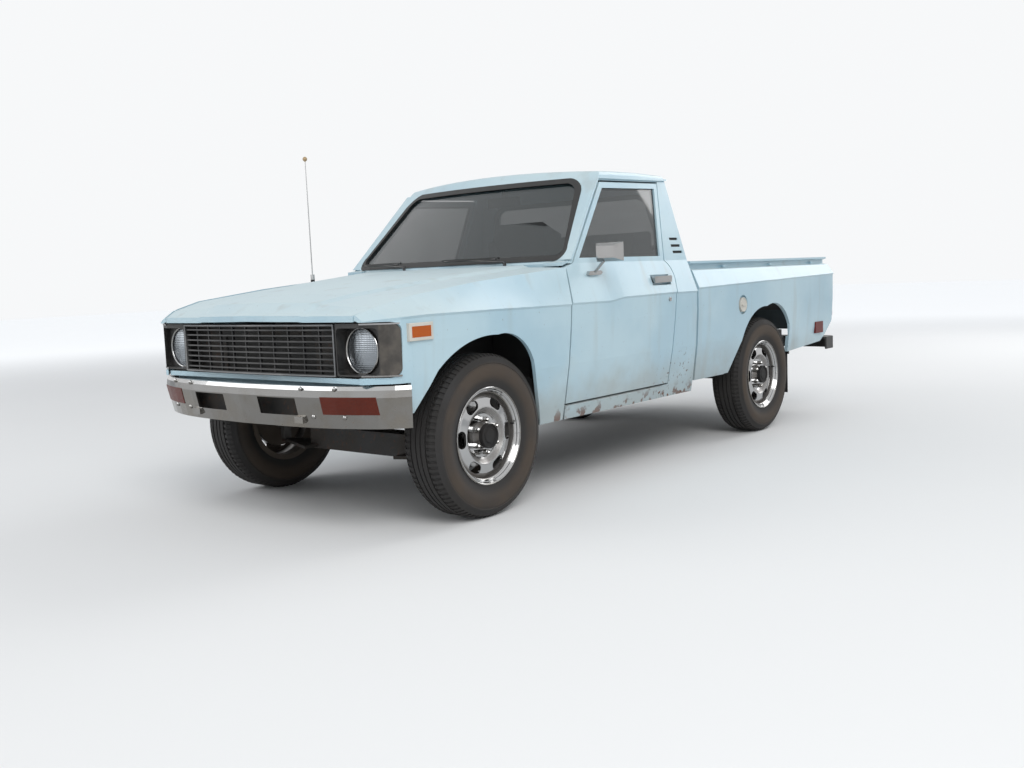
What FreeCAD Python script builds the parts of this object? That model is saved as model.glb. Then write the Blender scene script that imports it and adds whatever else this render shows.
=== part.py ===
import FreeCAD, Part
import math
import os

# Pickup truck, millimetres. While it is modelled, stations along the truck (y) are counted from the
# front axle, rearwards positive; x is positive to the truck's left; heights (z) are from the ground.
# Each node is moved at the end so that the origin lies on the ground, half way along the truck
# and half way across it.

V = FreeCAD.Vector

# Overall sizes
LENGTH = 4402.0
WHEELBASE = 2600.0
FRONT_OVERHANG = 702.0
MIDDLE = LENGTH / 2 - FRONT_OVERHANG
TAIL = LENGTH - FRONT_OVERHANG
BUMPER_HALF = 803.0
MIRROR_REACH = 932.0
# The origin is under the middle of the overall width, which takes in the one door mirror
SIDE_MIDDLE = (MIRROR_REACH - BUMPER_HALF) / 2

# Clearances
PANEL_GAP = 7.5
DOOR_FRONT_GAP = 9.5
DOOR_UPPER_GAP = 9.0
PIN_CLEARANCE = 0.3

# Body skin
SKIN = 18.0
CREASE_X = 800.0
CREASE_STEP = 6.0
CREASE_DROP = 10.0
# Flank from the sill to just under the crease: height, distance from the centre plane
FLANK = [(344, 745), (418, 758), (600, 782), (780, 793)]
BELT_X = 737.0
BELT_Z = 1060.0
FLOOR_Z = 434.0
FLOOR_THICK = 18.0
FLOOR_HALF = 620.0

# Wheels and tyres
WHEEL_X = 670.0
TYRE_RADIUS = 348.0
TYRE_HALF_WIDTH = 103.0
BEAD_RADIUS = 192.0
RIM_FLANGE_RADIUS = 208.0
RIM_HALF_WIDTH = 84.0
FLANGE_THICK = 8.0
SPINDLE_RADIUS = 20.0
SPINDLE_END_X = 668.0
LUG_CIRCLE_RADIUS = 69.85
LUG_COUNT = 6
WINDOW_COUNT = 6
WINDOW_CIRCLE_RADIUS = 146.0
WINDOW_LENGTH = 74.0
WINDOW_HALF_WIDTH = 21.0

# Steering
KINGPIN_X = 600.0
BALL_PIN_RADIUS = 9.0

# Doors
DOOR_INNER_X = 690.0
DOOR_HINGE_X = 750.0
DOOR_HINGE_Y = 624.0
DOOR_BOX_FRONT_Y = DOOR_HINGE_Y + 17.0
DOOR_SKIN = 15.0
DOOR_FRAME_THICK = 28.0
DOOR_GLASS_INSET = 10.0
DOOR_GLASS_THICK = 5.0
HINGE_HEIGHTS = [640.0, 880.0]

# Cab
CAB_BACK_Y = 1722.0
ROOF_TOP = 1545.0
ROOF_RADIUS = 7500.0
ROOF_EDGE_RADIUS = 26.0
ROOF_CENTRE_Y = 1380.0
CAB_WALL = 32.0

# Load bed
BED_FRONT_Y = CAB_BACK_Y + 20
BED_INNER_X = 690.0
BED_FLOOR_Z = 640.0
BED_RAIL_Z = 1052.0
BED_END_Y = TAIL - 93
BED_SKIN = 22.0
TAILGATE_THICK = 33.0
TAILGATE_PIVOT_Y = BED_END_Y - 17
TAILGATE_PIVOT_Z = 662.0


# Shapes used all over

def wire(points):
    corners = [V(*p) for p in points]
    return Part.makePolygon(corners + [corners[0]])


def side_prism(outline, x0, x1):
    """Outline of (y, z) pairs, extruded across the truck."""
    face = Part.Face(wire([(x0, y, z) for y, z in outline]))
    return face.extrude(V(x1 - x0, 0, 0))


def cross_prism(outline, y0, y1):
    """Outline of (x, z) pairs, extruded along the truck."""
    face = Part.Face(wire([(x, y0, z) for x, z in outline]))
    return face.extrude(V(0, y1 - y0, 0))


def plan_prism(outline, z0, z1):
    """Outline of (x, y) pairs, extruded upwards."""
    face = Part.Face(wire([(x, y, z0) for x, y in outline]))
    return face.extrude(V(0, 0, z1 - z0))


def curved_face(start, steps, place):
    """Face inside lines and arcs: a step is an end point, or (point on the arc, end point)."""
    edges = []
    here = place(*start)
    for step in steps + [start]:
        if isinstance(step[0], tuple):
            end = place(*step[1])
            edges.append(Part.Arc(here, place(*step[0]), end).toShape())
        else:
            end = place(*step)
            if end.distanceToPoint(here) > 1e-6:
                edges.append(Part.makeLine(here, end))
        here = end
    return Part.Face(Part.Wire(edges))


def block(x0, x1, y0, y1, z0, z1):
    return Part.makeBox(x1 - x0, y1 - y0, z1 - z0, V(x0, y0, z0))


def loft(sections):
    return Part.makeLoft([wire(section) for section in sections], True, True)


def rod(start, end, radius):
    base = V(*start)
    way = V(*end) - base
    return Part.makeCylinder(radius, way.Length, base, way)


def mirrored(shape):
    return shape.mirror(V(0, 0, 0), V(1, 0, 0))


def both_sides(shape):
    return [shape, mirrored(shape)]


def fused(shapes):
    return shapes[0].fuse(shapes[1:]).removeSplitter()


def between(table, key):
    """Straight interpolation in a table of (key, value) rows."""
    for (k0, v0), (k1, v1) in zip(table, table[1:]):
        if key <= k1:
            return v0 + (v1 - v0) * (key - k0) / (k1 - k0)
    return table[-1][1]


def offset_line(points, distance):
    """Polyline moved sideways, to the left of its direction."""
    moved = []
    for index, (x, y) in enumerate(points):
        before = points[max(index - 1, 0)]
        after = points[min(index + 1, len(points) - 1)]
        first = V(x - before[0], y - before[1], 0)
        second = V(after[0] - x, after[1] - y, 0)
        if first.Length == 0:
            first = second
        if second.Length == 0:
            second = first
        first.normalize()
        second.normalize()
        middle = first + second
        middle.normalize()
        stretch = distance / max(middle.dot(first), 0.5)
        moved.append((x - middle.y * stretch, y + middle.x * stretch))
    return moved


def save(name, shape):
    shape = shape.copy()
    shape.translate(V(-SIDE_MIDDLE, -MIDDLE, 0))
    shape.exportStep("parts/" + name + ".step")
    print(name, len(shape.Solids), "solid(s)", round(shape.Volume / 1e6, 2), "litres", shape.isValid())


# Flank of the body

def flank_x(z):
    return between(FLANK, z)


def flank_points(z_low, crease):
    points = [(flank_x(z_low), z_low)]
    points += [(x, z) for z, x in FLANK if z > z_low]
    points.append((CREASE_X - CREASE_STEP, crease - CREASE_DROP))
    points.append((CREASE_X, crease))
    return points


def flank_slab(stations, z_low, inner_x, inset=0):
    """Thick side wall up to the belt; stations are (y, crease height)."""
    sections = []
    for y, crease in stations:
        outline = [(x - inset, z) for x, z in flank_points(z_low, crease)]
        outline += [(BELT_X - inset, BELT_Z), (inner_x, BELT_Z), (inner_x, z_low)]
        sections.append([(x, y, z) for x, z in outline])
    return loft(sections)


# Cab above the belt: a shell whose walls lean in, under a crowned roof

GREENHOUSE_LOW = {"z": 1060.0, "half": BELT_X, "corner": 636.0, "centre": 560.0, "back": CAB_BACK_Y}
GREENHOUSE_HIGH = {"z": 1560.0, "half": 632.0, "corner": 1097.0, "centre": 999.0, "back": 1642.0}
SCREEN_SLOPE = 1.36


def greenhouse_outline(level, inset):
    half = level["half"] - inset
    ahead = inset * SCREEN_SLOPE
    start = V(-half, level["corner"] + ahead, level["z"])
    middle = V(0, level["centre"] + ahead, level["z"])
    end = V(half, level["corner"] + ahead, level["z"])
    back = level["back"] - inset
    arc = Part.Arc(start, middle, end).toShape()
    left = Part.makeLine(end, V(half, back, level["z"]))
    rear = Part.makeLine(V(half, back, level["z"]), V(-half, back, level["z"]))
    right = Part.makeLine(V(-half, back, level["z"]), start)
    return Part.Wire([arc, left, rear, right])


def greenhouse(inset):
    body = Part.makeLoft([greenhouse_outline(GREENHOUSE_LOW, inset),
                          greenhouse_outline(GREENHOUSE_HIGH, inset)], True, True)
    crown = Part.makeSphere(ROOF_RADIUS - inset, V(0, ROOF_CENTRE_Y, ROOF_TOP - ROOF_RADIUS))
    return body.common(crown)


# Shut lines of the door as (y, z): front edge upwards, over the top, and down the rear edge
DOOR_BOTTOM_Z = 418.0
DOOR_FRONT = [(540, 418), (569, 874), (604, 1045)]
DOOR_PILLAR = [(664, 1060), (1024, 1455)]
DOOR_TOP_REAR = (1566, 1468)
DOOR_REAR_BELT = (1478, 1060)
DOOR_REAR = [(1522, 950), (1503, 892), (1450, 418)]


def door_lower_face(gap, front_gap=0):
    """Face of the door below the belt, or of its opening where the gaps are above 0."""
    place = lambda y, z: V(0, y, z)
    front = [(y - front_gap, z) for y, z in DOOR_FRONT]
    rear = [(y + gap, z) for y, z in DOOR_REAR]
    low = DOOR_BOTTOM_Z - gap
    start = (front[0][0], low)
    belt_front = (DOOR_PILLAR[0][0] - gap, BELT_Z)
    belt_rear = (DOOR_REAR_BELT[0] + gap, BELT_Z)
    steps = front[1:] + [belt_front, belt_rear]
    steps.append(((1521 + gap, 1015), rear[0]))
    steps += [rear[1], (rear[2][0], low)]
    return curved_face(start, steps, place)


def door_upper_outline(gap):
    ahead = gap * 1.2
    return [(DOOR_PILLAR[0][0] - ahead, BELT_Z - 1),
            (DOOR_PILLAR[1][0] - ahead, DOOR_PILLAR[1][1] + gap),
            (DOOR_TOP_REAR[0] + gap, DOOR_TOP_REAR[1] + gap),
            (DOOR_REAR_BELT[0] + gap, BELT_Z - 1)]


HANDLE_SEAT_X = 757.0
# Recess behind the handle: front, back, low, high
HANDLE_RECESS = (1292.0, 1472.0, 934.0, 988.0)
DOOR_WINDOW = [(722, 1084), (1036, 1426), (1532, 1440), (1450, 1084)]


def make_door():
    """Left door with its window frame, and its glass."""
    stations = [(500, 880), (880, 876), (1000, 890), (1560, 895)]
    slab = flank_slab(stations, FLANK[0][0], DOOR_INNER_X)
    hollow = flank_slab([(500, 880), (DOOR_BOX_FRONT_Y, 880)], FLANK[0][0], 600, DOOR_SKIN)
    lower = slab.cut(hollow).common(door_lower_face(0).extrude(V(900, 0, 0)))
    shell = greenhouse(0).cut(greenhouse(DOOR_FRAME_THICK))
    upper = shell.common(side_prism(door_upper_outline(0), 500, 900))
    window = side_prism(DOOR_WINDOW, 500, 900)
    pieces = [lower, upper.cut(window)]
    for z in HINGE_HEIGHTS:
        pieces.append(door_hinge_arm(z))
    panel = fused(pieces).cut(window).cut(block(HANDLE_SEAT_X, 900, *HANDLE_RECESS))
    for z in HINGE_HEIGHTS:
        hole = HINGE_PIN_RADIUS + PIN_CLEARANCE
        panel = panel.cut(rod((DOOR_HINGE_X, DOOR_HINGE_Y, z - 30), (DOOR_HINGE_X, DOOR_HINGE_Y, z + 30), hole))
    pane = greenhouse(DOOR_GLASS_INSET).cut(greenhouse(DOOR_GLASS_INSET + DOOR_GLASS_THICK)).common(window)
    return panel, pane


HINGE_PIN_RADIUS = 6.0
HINGE_EYE_RADIUS = 11.0
HINGE_EYE_HALF = 9.0
HINGE_ARM_HALF = 5.0
HINGE_PLATE = 6.0
HINGE_POST_X = 660.0


def door_hinge_arm(z):
    """Eye round the hinge pin and a leaf from it to the door's box."""
    low = z - HINGE_EYE_HALF
    high = z + HINGE_EYE_HALF
    eye = rod((DOOR_HINGE_X, DOOR_HINGE_Y, low), (DOOR_HINGE_X, DOOR_HINGE_Y, high), HINGE_EYE_RADIUS)
    leaf = block(DOOR_HINGE_X - HINGE_EYE_RADIUS, DOOR_HINGE_X + HINGE_ARM_HALF, DOOR_HINGE_Y,
                 DOOR_BOX_FRONT_Y + 5, low, high)
    return eye.fuse(leaf)


def door_hinge_bracket(z):
    """Two plates on the hinge post with the pin between them."""
    pieces = []
    for low in (z - HINGE_EYE_HALF - 0.5 - HINGE_PLATE, z + HINGE_EYE_HALF + 0.5):
        pieces.append(block(HINGE_POST_X - 5, DOOR_HINGE_X + 9, DOOR_HINGE_Y - 10, DOOR_HINGE_Y + 10,
                            low, low + HINGE_PLATE))
    reach = HINGE_EYE_HALF + 0.5 + HINGE_PLATE
    pieces.append(rod((DOOR_HINGE_X, DOOR_HINGE_Y, z - reach), (DOOR_HINGE_X, DOOR_HINGE_Y, z + reach),
                      HINGE_PIN_RADIUS))
    return pieces


# Windows of the cab, seen from the front: bottom corner, top corner, corner radius

def screen_prism(bottom, top, cut, y0, y1):
    """Rounded trapezoid of (x, z) corners, extruded along the truck."""
    (bx, bz), (tx, tz) = bottom, top
    k = cut * 0.3
    place = lambda x, z: V(x, y0, z)
    lean = (bx - tx) / (tz - bz)
    start = (-bx + cut, bz)
    steps = [(bx - cut, bz),
             ((bx - k, bz + k), (bx - lean * cut, bz + cut)),
             (tx + lean * cut, tz - cut),
             ((tx - k, tz - k), (tx - cut, tz)),
             (-tx + cut, tz),
             ((-tx + k, tz - k), (-tx - lean * cut, tz - cut)),
             (-bx + lean * cut, bz + cut),
             ((-bx + k, bz + k), start)]
    return curved_face(start, steps, place).extrude(V(0, y1 - y0, 0))


SCREEN_BOTTOM = (706.0, 1075.0)
SCREEN_TOP = (580.0, 1484.0)
SCREEN_CORNER = 70.0
REAR_WINDOW_BOTTOM = (600.0, 1120.0)
REAR_WINDOW_TOP = (540.0, 1430.0)
SEAL_WIDTH = 26.0
SEAL_PROUD = 4.0
SEAL_DEEP = 20.0
GLASS_INSET = 6.0
GLASS_THICK = 6.0
CAB_SPLIT_Y = 1350.0


def shrunk(corner, distance, upwards):
    return (corner[0] - distance, corner[1] + distance * upwards)


def make_screens():
    band = greenhouse(-SEAL_PROUD).cut(greenhouse(SEAL_DEEP))
    pane = greenhouse(GLASS_INSET).cut(greenhouse(GLASS_INSET + GLASS_THICK))
    seals = []
    panes = []
    openings = []
    for bottom, top, y0, y1 in ((SCREEN_BOTTOM, SCREEN_TOP, 450.0, CAB_SPLIT_Y),
                                (REAR_WINDOW_BOTTOM, REAR_WINDOW_TOP, CAB_SPLIT_Y, 1800.0)):
        outer = screen_prism(bottom, top, SCREEN_CORNER, y0, y1)
        inner = screen_prism(shrunk(bottom, SEAL_WIDTH, 1), shrunk(top, SEAL_WIDTH, -1),
                             SCREEN_CORNER - SEAL_WIDTH, y0, y1)
        seals.append(band.common(outer.cut(inner)))
        panes.append(pane.common(inner))
        openings.append(outer)
    return seals, panes, openings


# Vents in the rear pillars: height of the slot, front end, rear end
VENTS = [(1174.0, 1581.0, 1668.0), (1138.0, 1585.0, 1682.0), (1104.0, 1591.0, 1692.0)]
VENT_HALF_HEIGHT = 7.0
VENT_DEEP = 12.0


def rounded_greenhouse():
    """Outside of the cab above the belt, with the edge between roof and sides rounded."""
    body = greenhouse(0)
    edges = [edge for edge in body.Edges if edge.BoundBox.ZMin > GREENHOUSE_HIGH["z"] - 100]
    return body.makeFillet(ROOF_EDGE_RADIUS, edges)


def make_vents():
    band = greenhouse(-1).cut(greenhouse(VENT_DEEP))
    slots = []
    for z, front, back in VENTS:
        slots.append(block(600, 800, front, back, z - VENT_HALF_HEIGHT, z + VENT_HALF_HEIGHT).common(band))
    return slots + [mirrored(slot) for slot in slots]


def make_cab_shell(openings):
    shell = rounded_greenhouse().cut(greenhouse(CAB_WALL)).cut(make_vents())
    for opening in openings:
        shell = shell.cut(opening)
    for side in both_sides(side_prism(door_upper_outline(DOOR_UPPER_GAP), 500, 900)):
        shell = shell.cut(side)
    # Below the belt: quarter panels with the door opening cut, sills, hinge posts and back wall
    quarter = flank_slab([(1400, 893), (CAB_BACK_Y, 892)], 405.0, DOOR_INNER_X - 10)
    opening = door_lower_face(PANEL_GAP, DOOR_FRONT_GAP).extrude(V(900, 0, 0))
    quarter = quarter.cut(opening)
    sill_outline = [(flank_x(344), 344), (flank_x(405), 405), (flank_x(405) - 12, DOOR_BOTTOM_Z - PANEL_GAP),
                    (HINGE_POST_X - 5, DOOR_BOTTOM_Z - PANEL_GAP), (HINGE_POST_X - 5, 344)]
    sill = cross_prism(sill_outline, DOOR_FRONT[0][0] + 2, CAB_BACK_Y)
    step = block(FLOOR_HALF, HINGE_POST_X, 470, CAB_BACK_Y, 404, FLOOR_Z + FLOOR_THICK)
    post_y = DOOR_HINGE_Y + 12
    post = side_prism([(470, 405), (470, 968), (596, 968), (608, 1066), (664, 1066), (post_y, 1000), (post_y, 405)],
                      FLOOR_HALF, HINGE_POST_X)
    pillar_foot = side_prism([(590, 1050), (600, 1053), (654, 1069), (644, 1073), (590, 1066)],
                             FLOOR_HALF, BELT_X - 10)
    side = [quarter, sill, step, post, pillar_foot]
    for z in HINGE_HEIGHTS:
        side += door_hinge_bracket(z)
    side = fused(side)
    back_low = block(-DOOR_INNER_X, DOOR_INNER_X, CAB_BACK_Y - CAB_WALL, CAB_BACK_Y, FLOOR_Z, BELT_Z + 5)
    whole = fused([shell, back_low] + both_sides(side))
    gutter = [strip.cut(openings[0]) for strip in make_gutter()]
    return fused([whole] + gutter)


GUTTER_PROUD = 10.0
GUTTER_LOW = [(650, 1078), (1012, 1472), (1590, 1484), (1664, 1487)]
GUTTER_HIGH = [(638, 1078), (1004, 1481), (1590, 1493), (1664, 1496)]


def make_gutter():
    band = greenhouse(-GUTTER_PROUD).cut(greenhouse(2))
    strip = side_prism(GUTTER_LOW + GUTTER_HIGH[::-1], 500, 900)
    return both_sides(band.common(strip))


def make_cab_floor():
    """Floor with toe board and firewall in one bent sheet, and the raised tunnel."""
    outline = [(455, COWL_TRAY_Z), (470, COWL_TRAY_Z), (470, 560), (562, FLOOR_Z + FLOOR_THICK),
               (CAB_BACK_Y - CAB_WALL, FLOOR_Z + FLOOR_THICK), (CAB_BACK_Y - CAB_WALL, FLOOR_Z),
               (552, FLOOR_Z), (455, 548)]
    sheet = side_prism(outline, -FLOOR_HALF, FLOOR_HALF)
    # Tunnel sections: station, half width at the foot, height of the top
    rows = [(440, 190, 650), (900, 140, 570), (1080, 120, 532), (CAB_BACK_Y - CAB_WALL, 110, 520)]
    outer = []
    inner = []
    for y, half, top in rows:
        outer.append([(half, y, FLOOR_Z), (half * 0.7, y, top), (-half * 0.7, y, top), (-half, y, FLOOR_Z)])
        inner.append([(half - 14, y, FLOOR_Z - 30), (half * 0.7 - 12, y, top - 12),
                      (-half * 0.7 + 12, y, top - 12), (-half + 14, y, FLOOR_Z - 30)])
    tunnel = loft(outer).common(block(-300, 300, 455, CAB_BACK_Y - CAB_WALL, 300, 700))
    return fused([sheet, tunnel]).cut(loft(inner))


# Hood: station, half width, height of the edge, ridge from the centre, height of the ridge, its step
HOOD_ROWS = [(-645, 612, 882, 318, 886, 2), (-606, 625, 890, 322, 901, 5), (-545, 655, 915, 332, 938, 10),
             (-385, 690, 951, 368, 968, 12), (0, 700, 993, 440, 1014, 12), (600, 728, 1044, 548, 1066, 12)]
HOOD_THICK = 24.0
HOOD_RIDGE_FOOT = 30.0
HOOD_CROWN = 5.0
HOOD_REAR_Y = 495.0
HOOD_HINGE_X = 590.0
HOOD_HINGE_Y = 520.0
HOOD_HINGE_Z = 1008.0
HOOD_PIN_RADIUS = 5.0


def hood_section(row):
    y, half, edge_z, ridge_x, ridge_z, ridge_step = row
    top = [(half, edge_z), (ridge_x + HOOD_RIDGE_FOOT, ridge_z - ridge_step), (ridge_x, ridge_z),
           (0, ridge_z + HOOD_CROWN)]
    top += [(-x, z) for x, z in top[-2::-1]]
    bottom = [(x, z - HOOD_THICK) for x, z in top[::-1]]
    return [(x, y, z) for x, z in top + bottom]


def make_hood():
    body = loft([hood_section(row) for row in HOOD_ROWS])
    place = lambda x, y: V(x, y, 700)
    plan = curved_face((-740, -606), [((0, -638), (740, -606)), (740, 580), ((0, HOOD_REAR_Y), (-740, 580))], place)
    hood = body.common(plan.extrude(V(0, 0, 500)))
    arms = []
    for side in (1, -1):
        x = side * HOOD_HINGE_X
        arm = block(x - 8, x + 8, HOOD_HINGE_Y - 50, HOOD_HINGE_Y + 4, HOOD_HINGE_Z - 4, HOOD_HINGE_Z + 24)
        eye = rod((x - 8, HOOD_HINGE_Y, HOOD_HINGE_Z), (x + 8, HOOD_HINGE_Y, HOOD_HINGE_Z), 9)
        arms += [arm, eye]
    hood = fused([hood] + arms)
    hole = HOOD_PIN_RADIUS + PIN_CLEARANCE
    return hood.cut(rod((-700, HOOD_HINGE_Y, HOOD_HINGE_Z), (700, HOOD_HINGE_Y, HOOD_HINGE_Z), hole))


COWL_TRAY_Z = 962.0
COWL_TRAY_THICK = 12.0
COWL_TOP_Z = 1062.0


def cowl_band(front, back, z0, z1):
    """Plate between the foot of the windscreen moved by front and by back."""
    half = 700
    corner = 630
    centre = 560
    place = lambda x, y: V(x, y, z0)
    face = curved_face((-half, corner + front), [((0, centre + front), (half, corner + front)),
                                                 (half, corner + back),
                                                 ((0, centre + back), (-half, corner + back))], place)
    return face.extrude(V(0, 0, z1 - z0))


def make_cowl():
    tray_top = COWL_TRAY_Z + COWL_TRAY_THICK
    place = lambda x, y: V(x, y, COWL_TRAY_Z)
    half = FLOOR_HALF
    tray = curved_face((-half, 455), [(half, 455), (half, 615), ((0, 555), (-half, 615))], place)
    tray = tray.extrude(V(0, 0, COWL_TRAY_THICK))
    wall = cowl_band(-14, 0, COWL_TRAY_Z, COWL_TOP_Z)
    shelf = cowl_band(-14, 60, COWL_TOP_Z - 12, COWL_TOP_Z)
    pieces = [tray, wall, shelf]
    for side in (1, -1):
        x = side * HOOD_HINGE_X
        for x0 in (x - 16, x + 9):
            pieces.append(block(x0, x0 + 7, HOOD_HINGE_Y - 10, HOOD_HINGE_Y + 10, tray_top - 1, HOOD_HINGE_Z + 6))
        pieces.append(rod((x - 16, HOOD_HINGE_Y, HOOD_HINGE_Z), (x + 16, HOOD_HINGE_Y, HOOD_HINGE_Z),
                          HOOD_PIN_RADIUS))
    cowl = fused(pieces)
    return cowl.cut(greenhouse(-SEAL_PROUD)).common(block(-FLOOR_HALF, FLOOR_HALF, 0, 900, 900, 1100))


# Front fenders: station, crease height, how far the flank is pulled in, shoulder x, shoulder z
FENDER_ROWS = [(-612, 866, 126, 639, 887), (-583, 870, 91, 652, 900), (-553, 874, 46, 667, 913),
               (-518, 877, 12, 677, 923), (-470, 879, 2, 687, 934), (-385, 881, 0, 706, 953),
               (0, 880, 0, 716, 996), (640, 874, 0, 748, 1046)]
SHOULDER_FLANGE = 9.0
FENDER_EDGE = 1.5
APRON_X = 396.0
APRON_THICK = 14.0
ARCH_FRONT_START = (-457, 505)
BEZEL_BACK_Y = -514.0
BEZEL_LOW_Z = 650.0
BEZEL_HIGH_Z = 862.0
BEZEL_CORNER = 34.0
BEZEL_GAP = 4.0


def fender_section(row):
    y, crease, tuck, shoulder_x, shoulder_z = row
    outer = [(x - tuck, z) for x, z in flank_points(FLANK[0][0], crease)]
    inner = [(x - SKIN, z - 6) for x, z in outer[::-1]]
    inner[-1] = (outer[0][0] - SKIN, outer[0][1])
    outer.append((shoulder_x, shoulder_z))
    outer.append((shoulder_x - SHOULDER_FLANGE, shoulder_z + 1))
    under = [(shoulder_x - SHOULDER_FLANGE, shoulder_z - SKIN)]
    return [(x, y, z) for x, z in outer + under + inner]


def front_arch():
    place = lambda y, z: V(640, y, z)
    steps = [(-720, 505), ARCH_FRONT_START, (-329, 657), ((-140, 756), (36, 773)), ((200, 738), (283, 639)),
             (308, 544), (331, 459), (357, 361), (357, 300)]
    return curved_face((-720, 300), steps, place).extrude(V(260, 0, 0))


def fender_rear_bevel():
    """Wedge off the inside of the fender's rear edge, so the door's front edge can swing in behind it."""
    foot = (DOOR_FRONT[0][1], DOOR_FRONT[0][0])
    lines = [(300, foot[1] - 4)] + [(z, y) for y, z in DOOR_FRONT] + [(1120, DOOR_FRONT[-1][0] + 4)]
    crease = FENDER_ROWS[-1][1]
    outside = FLANK + [(crease - CREASE_DROP, CREASE_X - CREASE_STEP), (crease, CREASE_X),
                       (FENDER_ROWS[-1][4], FENDER_ROWS[-1][3])]
    sections = []
    for z in [340] + [row[0] for row in outside[1:]]:
        x = between(outside, z) - FENDER_EDGE
        y = between(lines, z) - DOOR_FRONT_GAP
        sections.append([(x + 2, y + 2, z), (x - 40, y + 2, z), (x - 40, y - 40, z)])
    return loft(sections)


def ahead_of_bumper():
    """Room that the bumper fills, and all in front of it, up to a gap over its top shelf."""
    whole = [(-x, y) for x, y in BUMPER_PLAN[:0:-1]] + BUMPER_PLAN
    line = offset_line(whole, BUMPER_SHELF + PANEL_GAP)
    return plan_prism(line + [(900, -800), (-900, -800)], 300, BUMPER_LEVELS[-1][0] + PANEL_GAP)


def bezel_pocket(gap):
    """Room for the lamp's bezel in the fender, seen from the side, with two rounded corners."""
    low = BEZEL_LOW_Z + gap
    high = BEZEL_HIGH_Z - gap
    back = BEZEL_BACK_Y - gap
    turn = BEZEL_CORNER * 0.3
    place = lambda y, z: V(490, y, z)
    steps = [(back - BEZEL_CORNER, low), ((back - turn, low + turn), (back, low + BEZEL_CORNER)),
             (back, high - BEZEL_CORNER), ((back - turn, high - turn), (back - BEZEL_CORNER, high)),
             (-720, high)]
    return curved_face((-720, low), steps, place).extrude(V(410, 0, 0))


def make_fender():
    skin = loft([fender_section(row) for row in FENDER_ROWS])
    rear = [(y - DOOR_FRONT_GAP, z) for y, z in DOOR_FRONT]
    keep = side_prism([(-720, 300), (-720, 1120)] + [(600, 1120)] + rear[::-1] + [(rear[0][0] - 4, 300)], 500, 900)
    skin = skin.common(keep).cut(front_arch()).cut(fender_rear_bevel())
    skin = skin.cut(bezel_pocket(0))
    # Inner apron and the sheet that joins it to the shoulder: station, height at the apron, at the shoulder
    sections = []
    for y, low, high in ((SUPPORT_Y + SUPPORT_THICK, 842, 884), (450, 930, 992)):
        sections.append([(APRON_X, y, 545), (APRON_X + APRON_THICK, y, 545), (APRON_X + APRON_THICK, y, low - 8),
                         (690, y, high - 12), (745, y, high - 12), (745, y, high), (690, y, high + 2),
                         (APRON_X, y, low + 6)])
    apron = loft(sections)
    skin = skin.cut(bumper_band(-PANEL_GAP, BUMPER_SHELF + PANEL_GAP, PANEL_GAP)).cut(ahead_of_bumper())
    return fused([skin, apron])


SUPPORT_Y = -530.0
SUPPORT_THICK = 14.0


def make_front_panel():
    """Valance between the grille and the bumper, with a skirt that hangs behind the bumper."""
    shelf = BUMPER_LEVELS[-1][0] + PANEL_GAP
    top = BEZEL_LOW_Z - BEZEL_GAP
    skirt = RAIL_ROWS[0][4] + PANEL_GAP
    outline = [(GRILLE_FRONT, top), (GRILLE_FRONT, shelf), (-562, shelf), (-558, skirt), (-546, skirt),
               (-550, top - 14), (SUPPORT_Y, top - 14), (SUPPORT_Y, top)]
    valance = side_prism(outline, -FENDER_NOSE_HALF, FENDER_NOSE_HALF)
    return valance.cut(bumper_band(-PANEL_GAP, BUMPER_SHELF + PANEL_GAP))


FENDER_NOSE_HALF = 636.0
SUPPORT_HALF = 722.0


def make_radiator_support(fender):
    """Dark panel behind grille and lamps with its window for the radiator, and the bar to the grille."""
    tie_bar = block(2 - GRILLE_HALF, GRILLE_HALF - 2, GRILLE_FRONT + GRILLE_DEEP, SUPPORT_Y + 2, 840, 852)
    support = block(-SUPPORT_HALF, SUPPORT_HALF, SUPPORT_Y, SUPPORT_Y + SUPPORT_THICK, RAIL_ROWS[0][4], 852)
    window = block(-300, 300, SUPPORT_Y - 10, SUPPORT_Y + 30, 600, 800)
    panel = fused([tie_bar, support.cut(window)]).cut(bumper_band(-PANEL_GAP, BUMPER_SHELF + PANEL_GAP))
    return panel.cut(fender).cut(mirrored(fender))


GRILLE_HALF = 500.0
GRILLE_LOW = 650.0
GRILLE_HIGH = 856.0
GRILLE_FRONT = -604.0
GRILLE_DEEP = 20.0
GRILLE_BOW = 20.0
GRILLE_FRAME = 9.0
GRILLE_BARS = 8
GRILLE_POSTS = 10
GRILLE_BAR = 6.0


def grille_band(front, back, z0, z1):
    """Bar that bows forwards, between two distances behind the grille's face."""
    place = lambda x, y: V(x, y, z0)
    ahead = GRILLE_FRONT + front
    behind = GRILLE_FRONT + back
    steps = [((0, ahead - GRILLE_BOW), (GRILLE_HALF, ahead)), (GRILLE_HALF, behind),
             ((0, behind - GRILLE_BOW), (-GRILLE_HALF, behind))]
    return curved_face((-GRILLE_HALF, ahead), steps, place).extrude(V(0, 0, z1 - z0))


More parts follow.
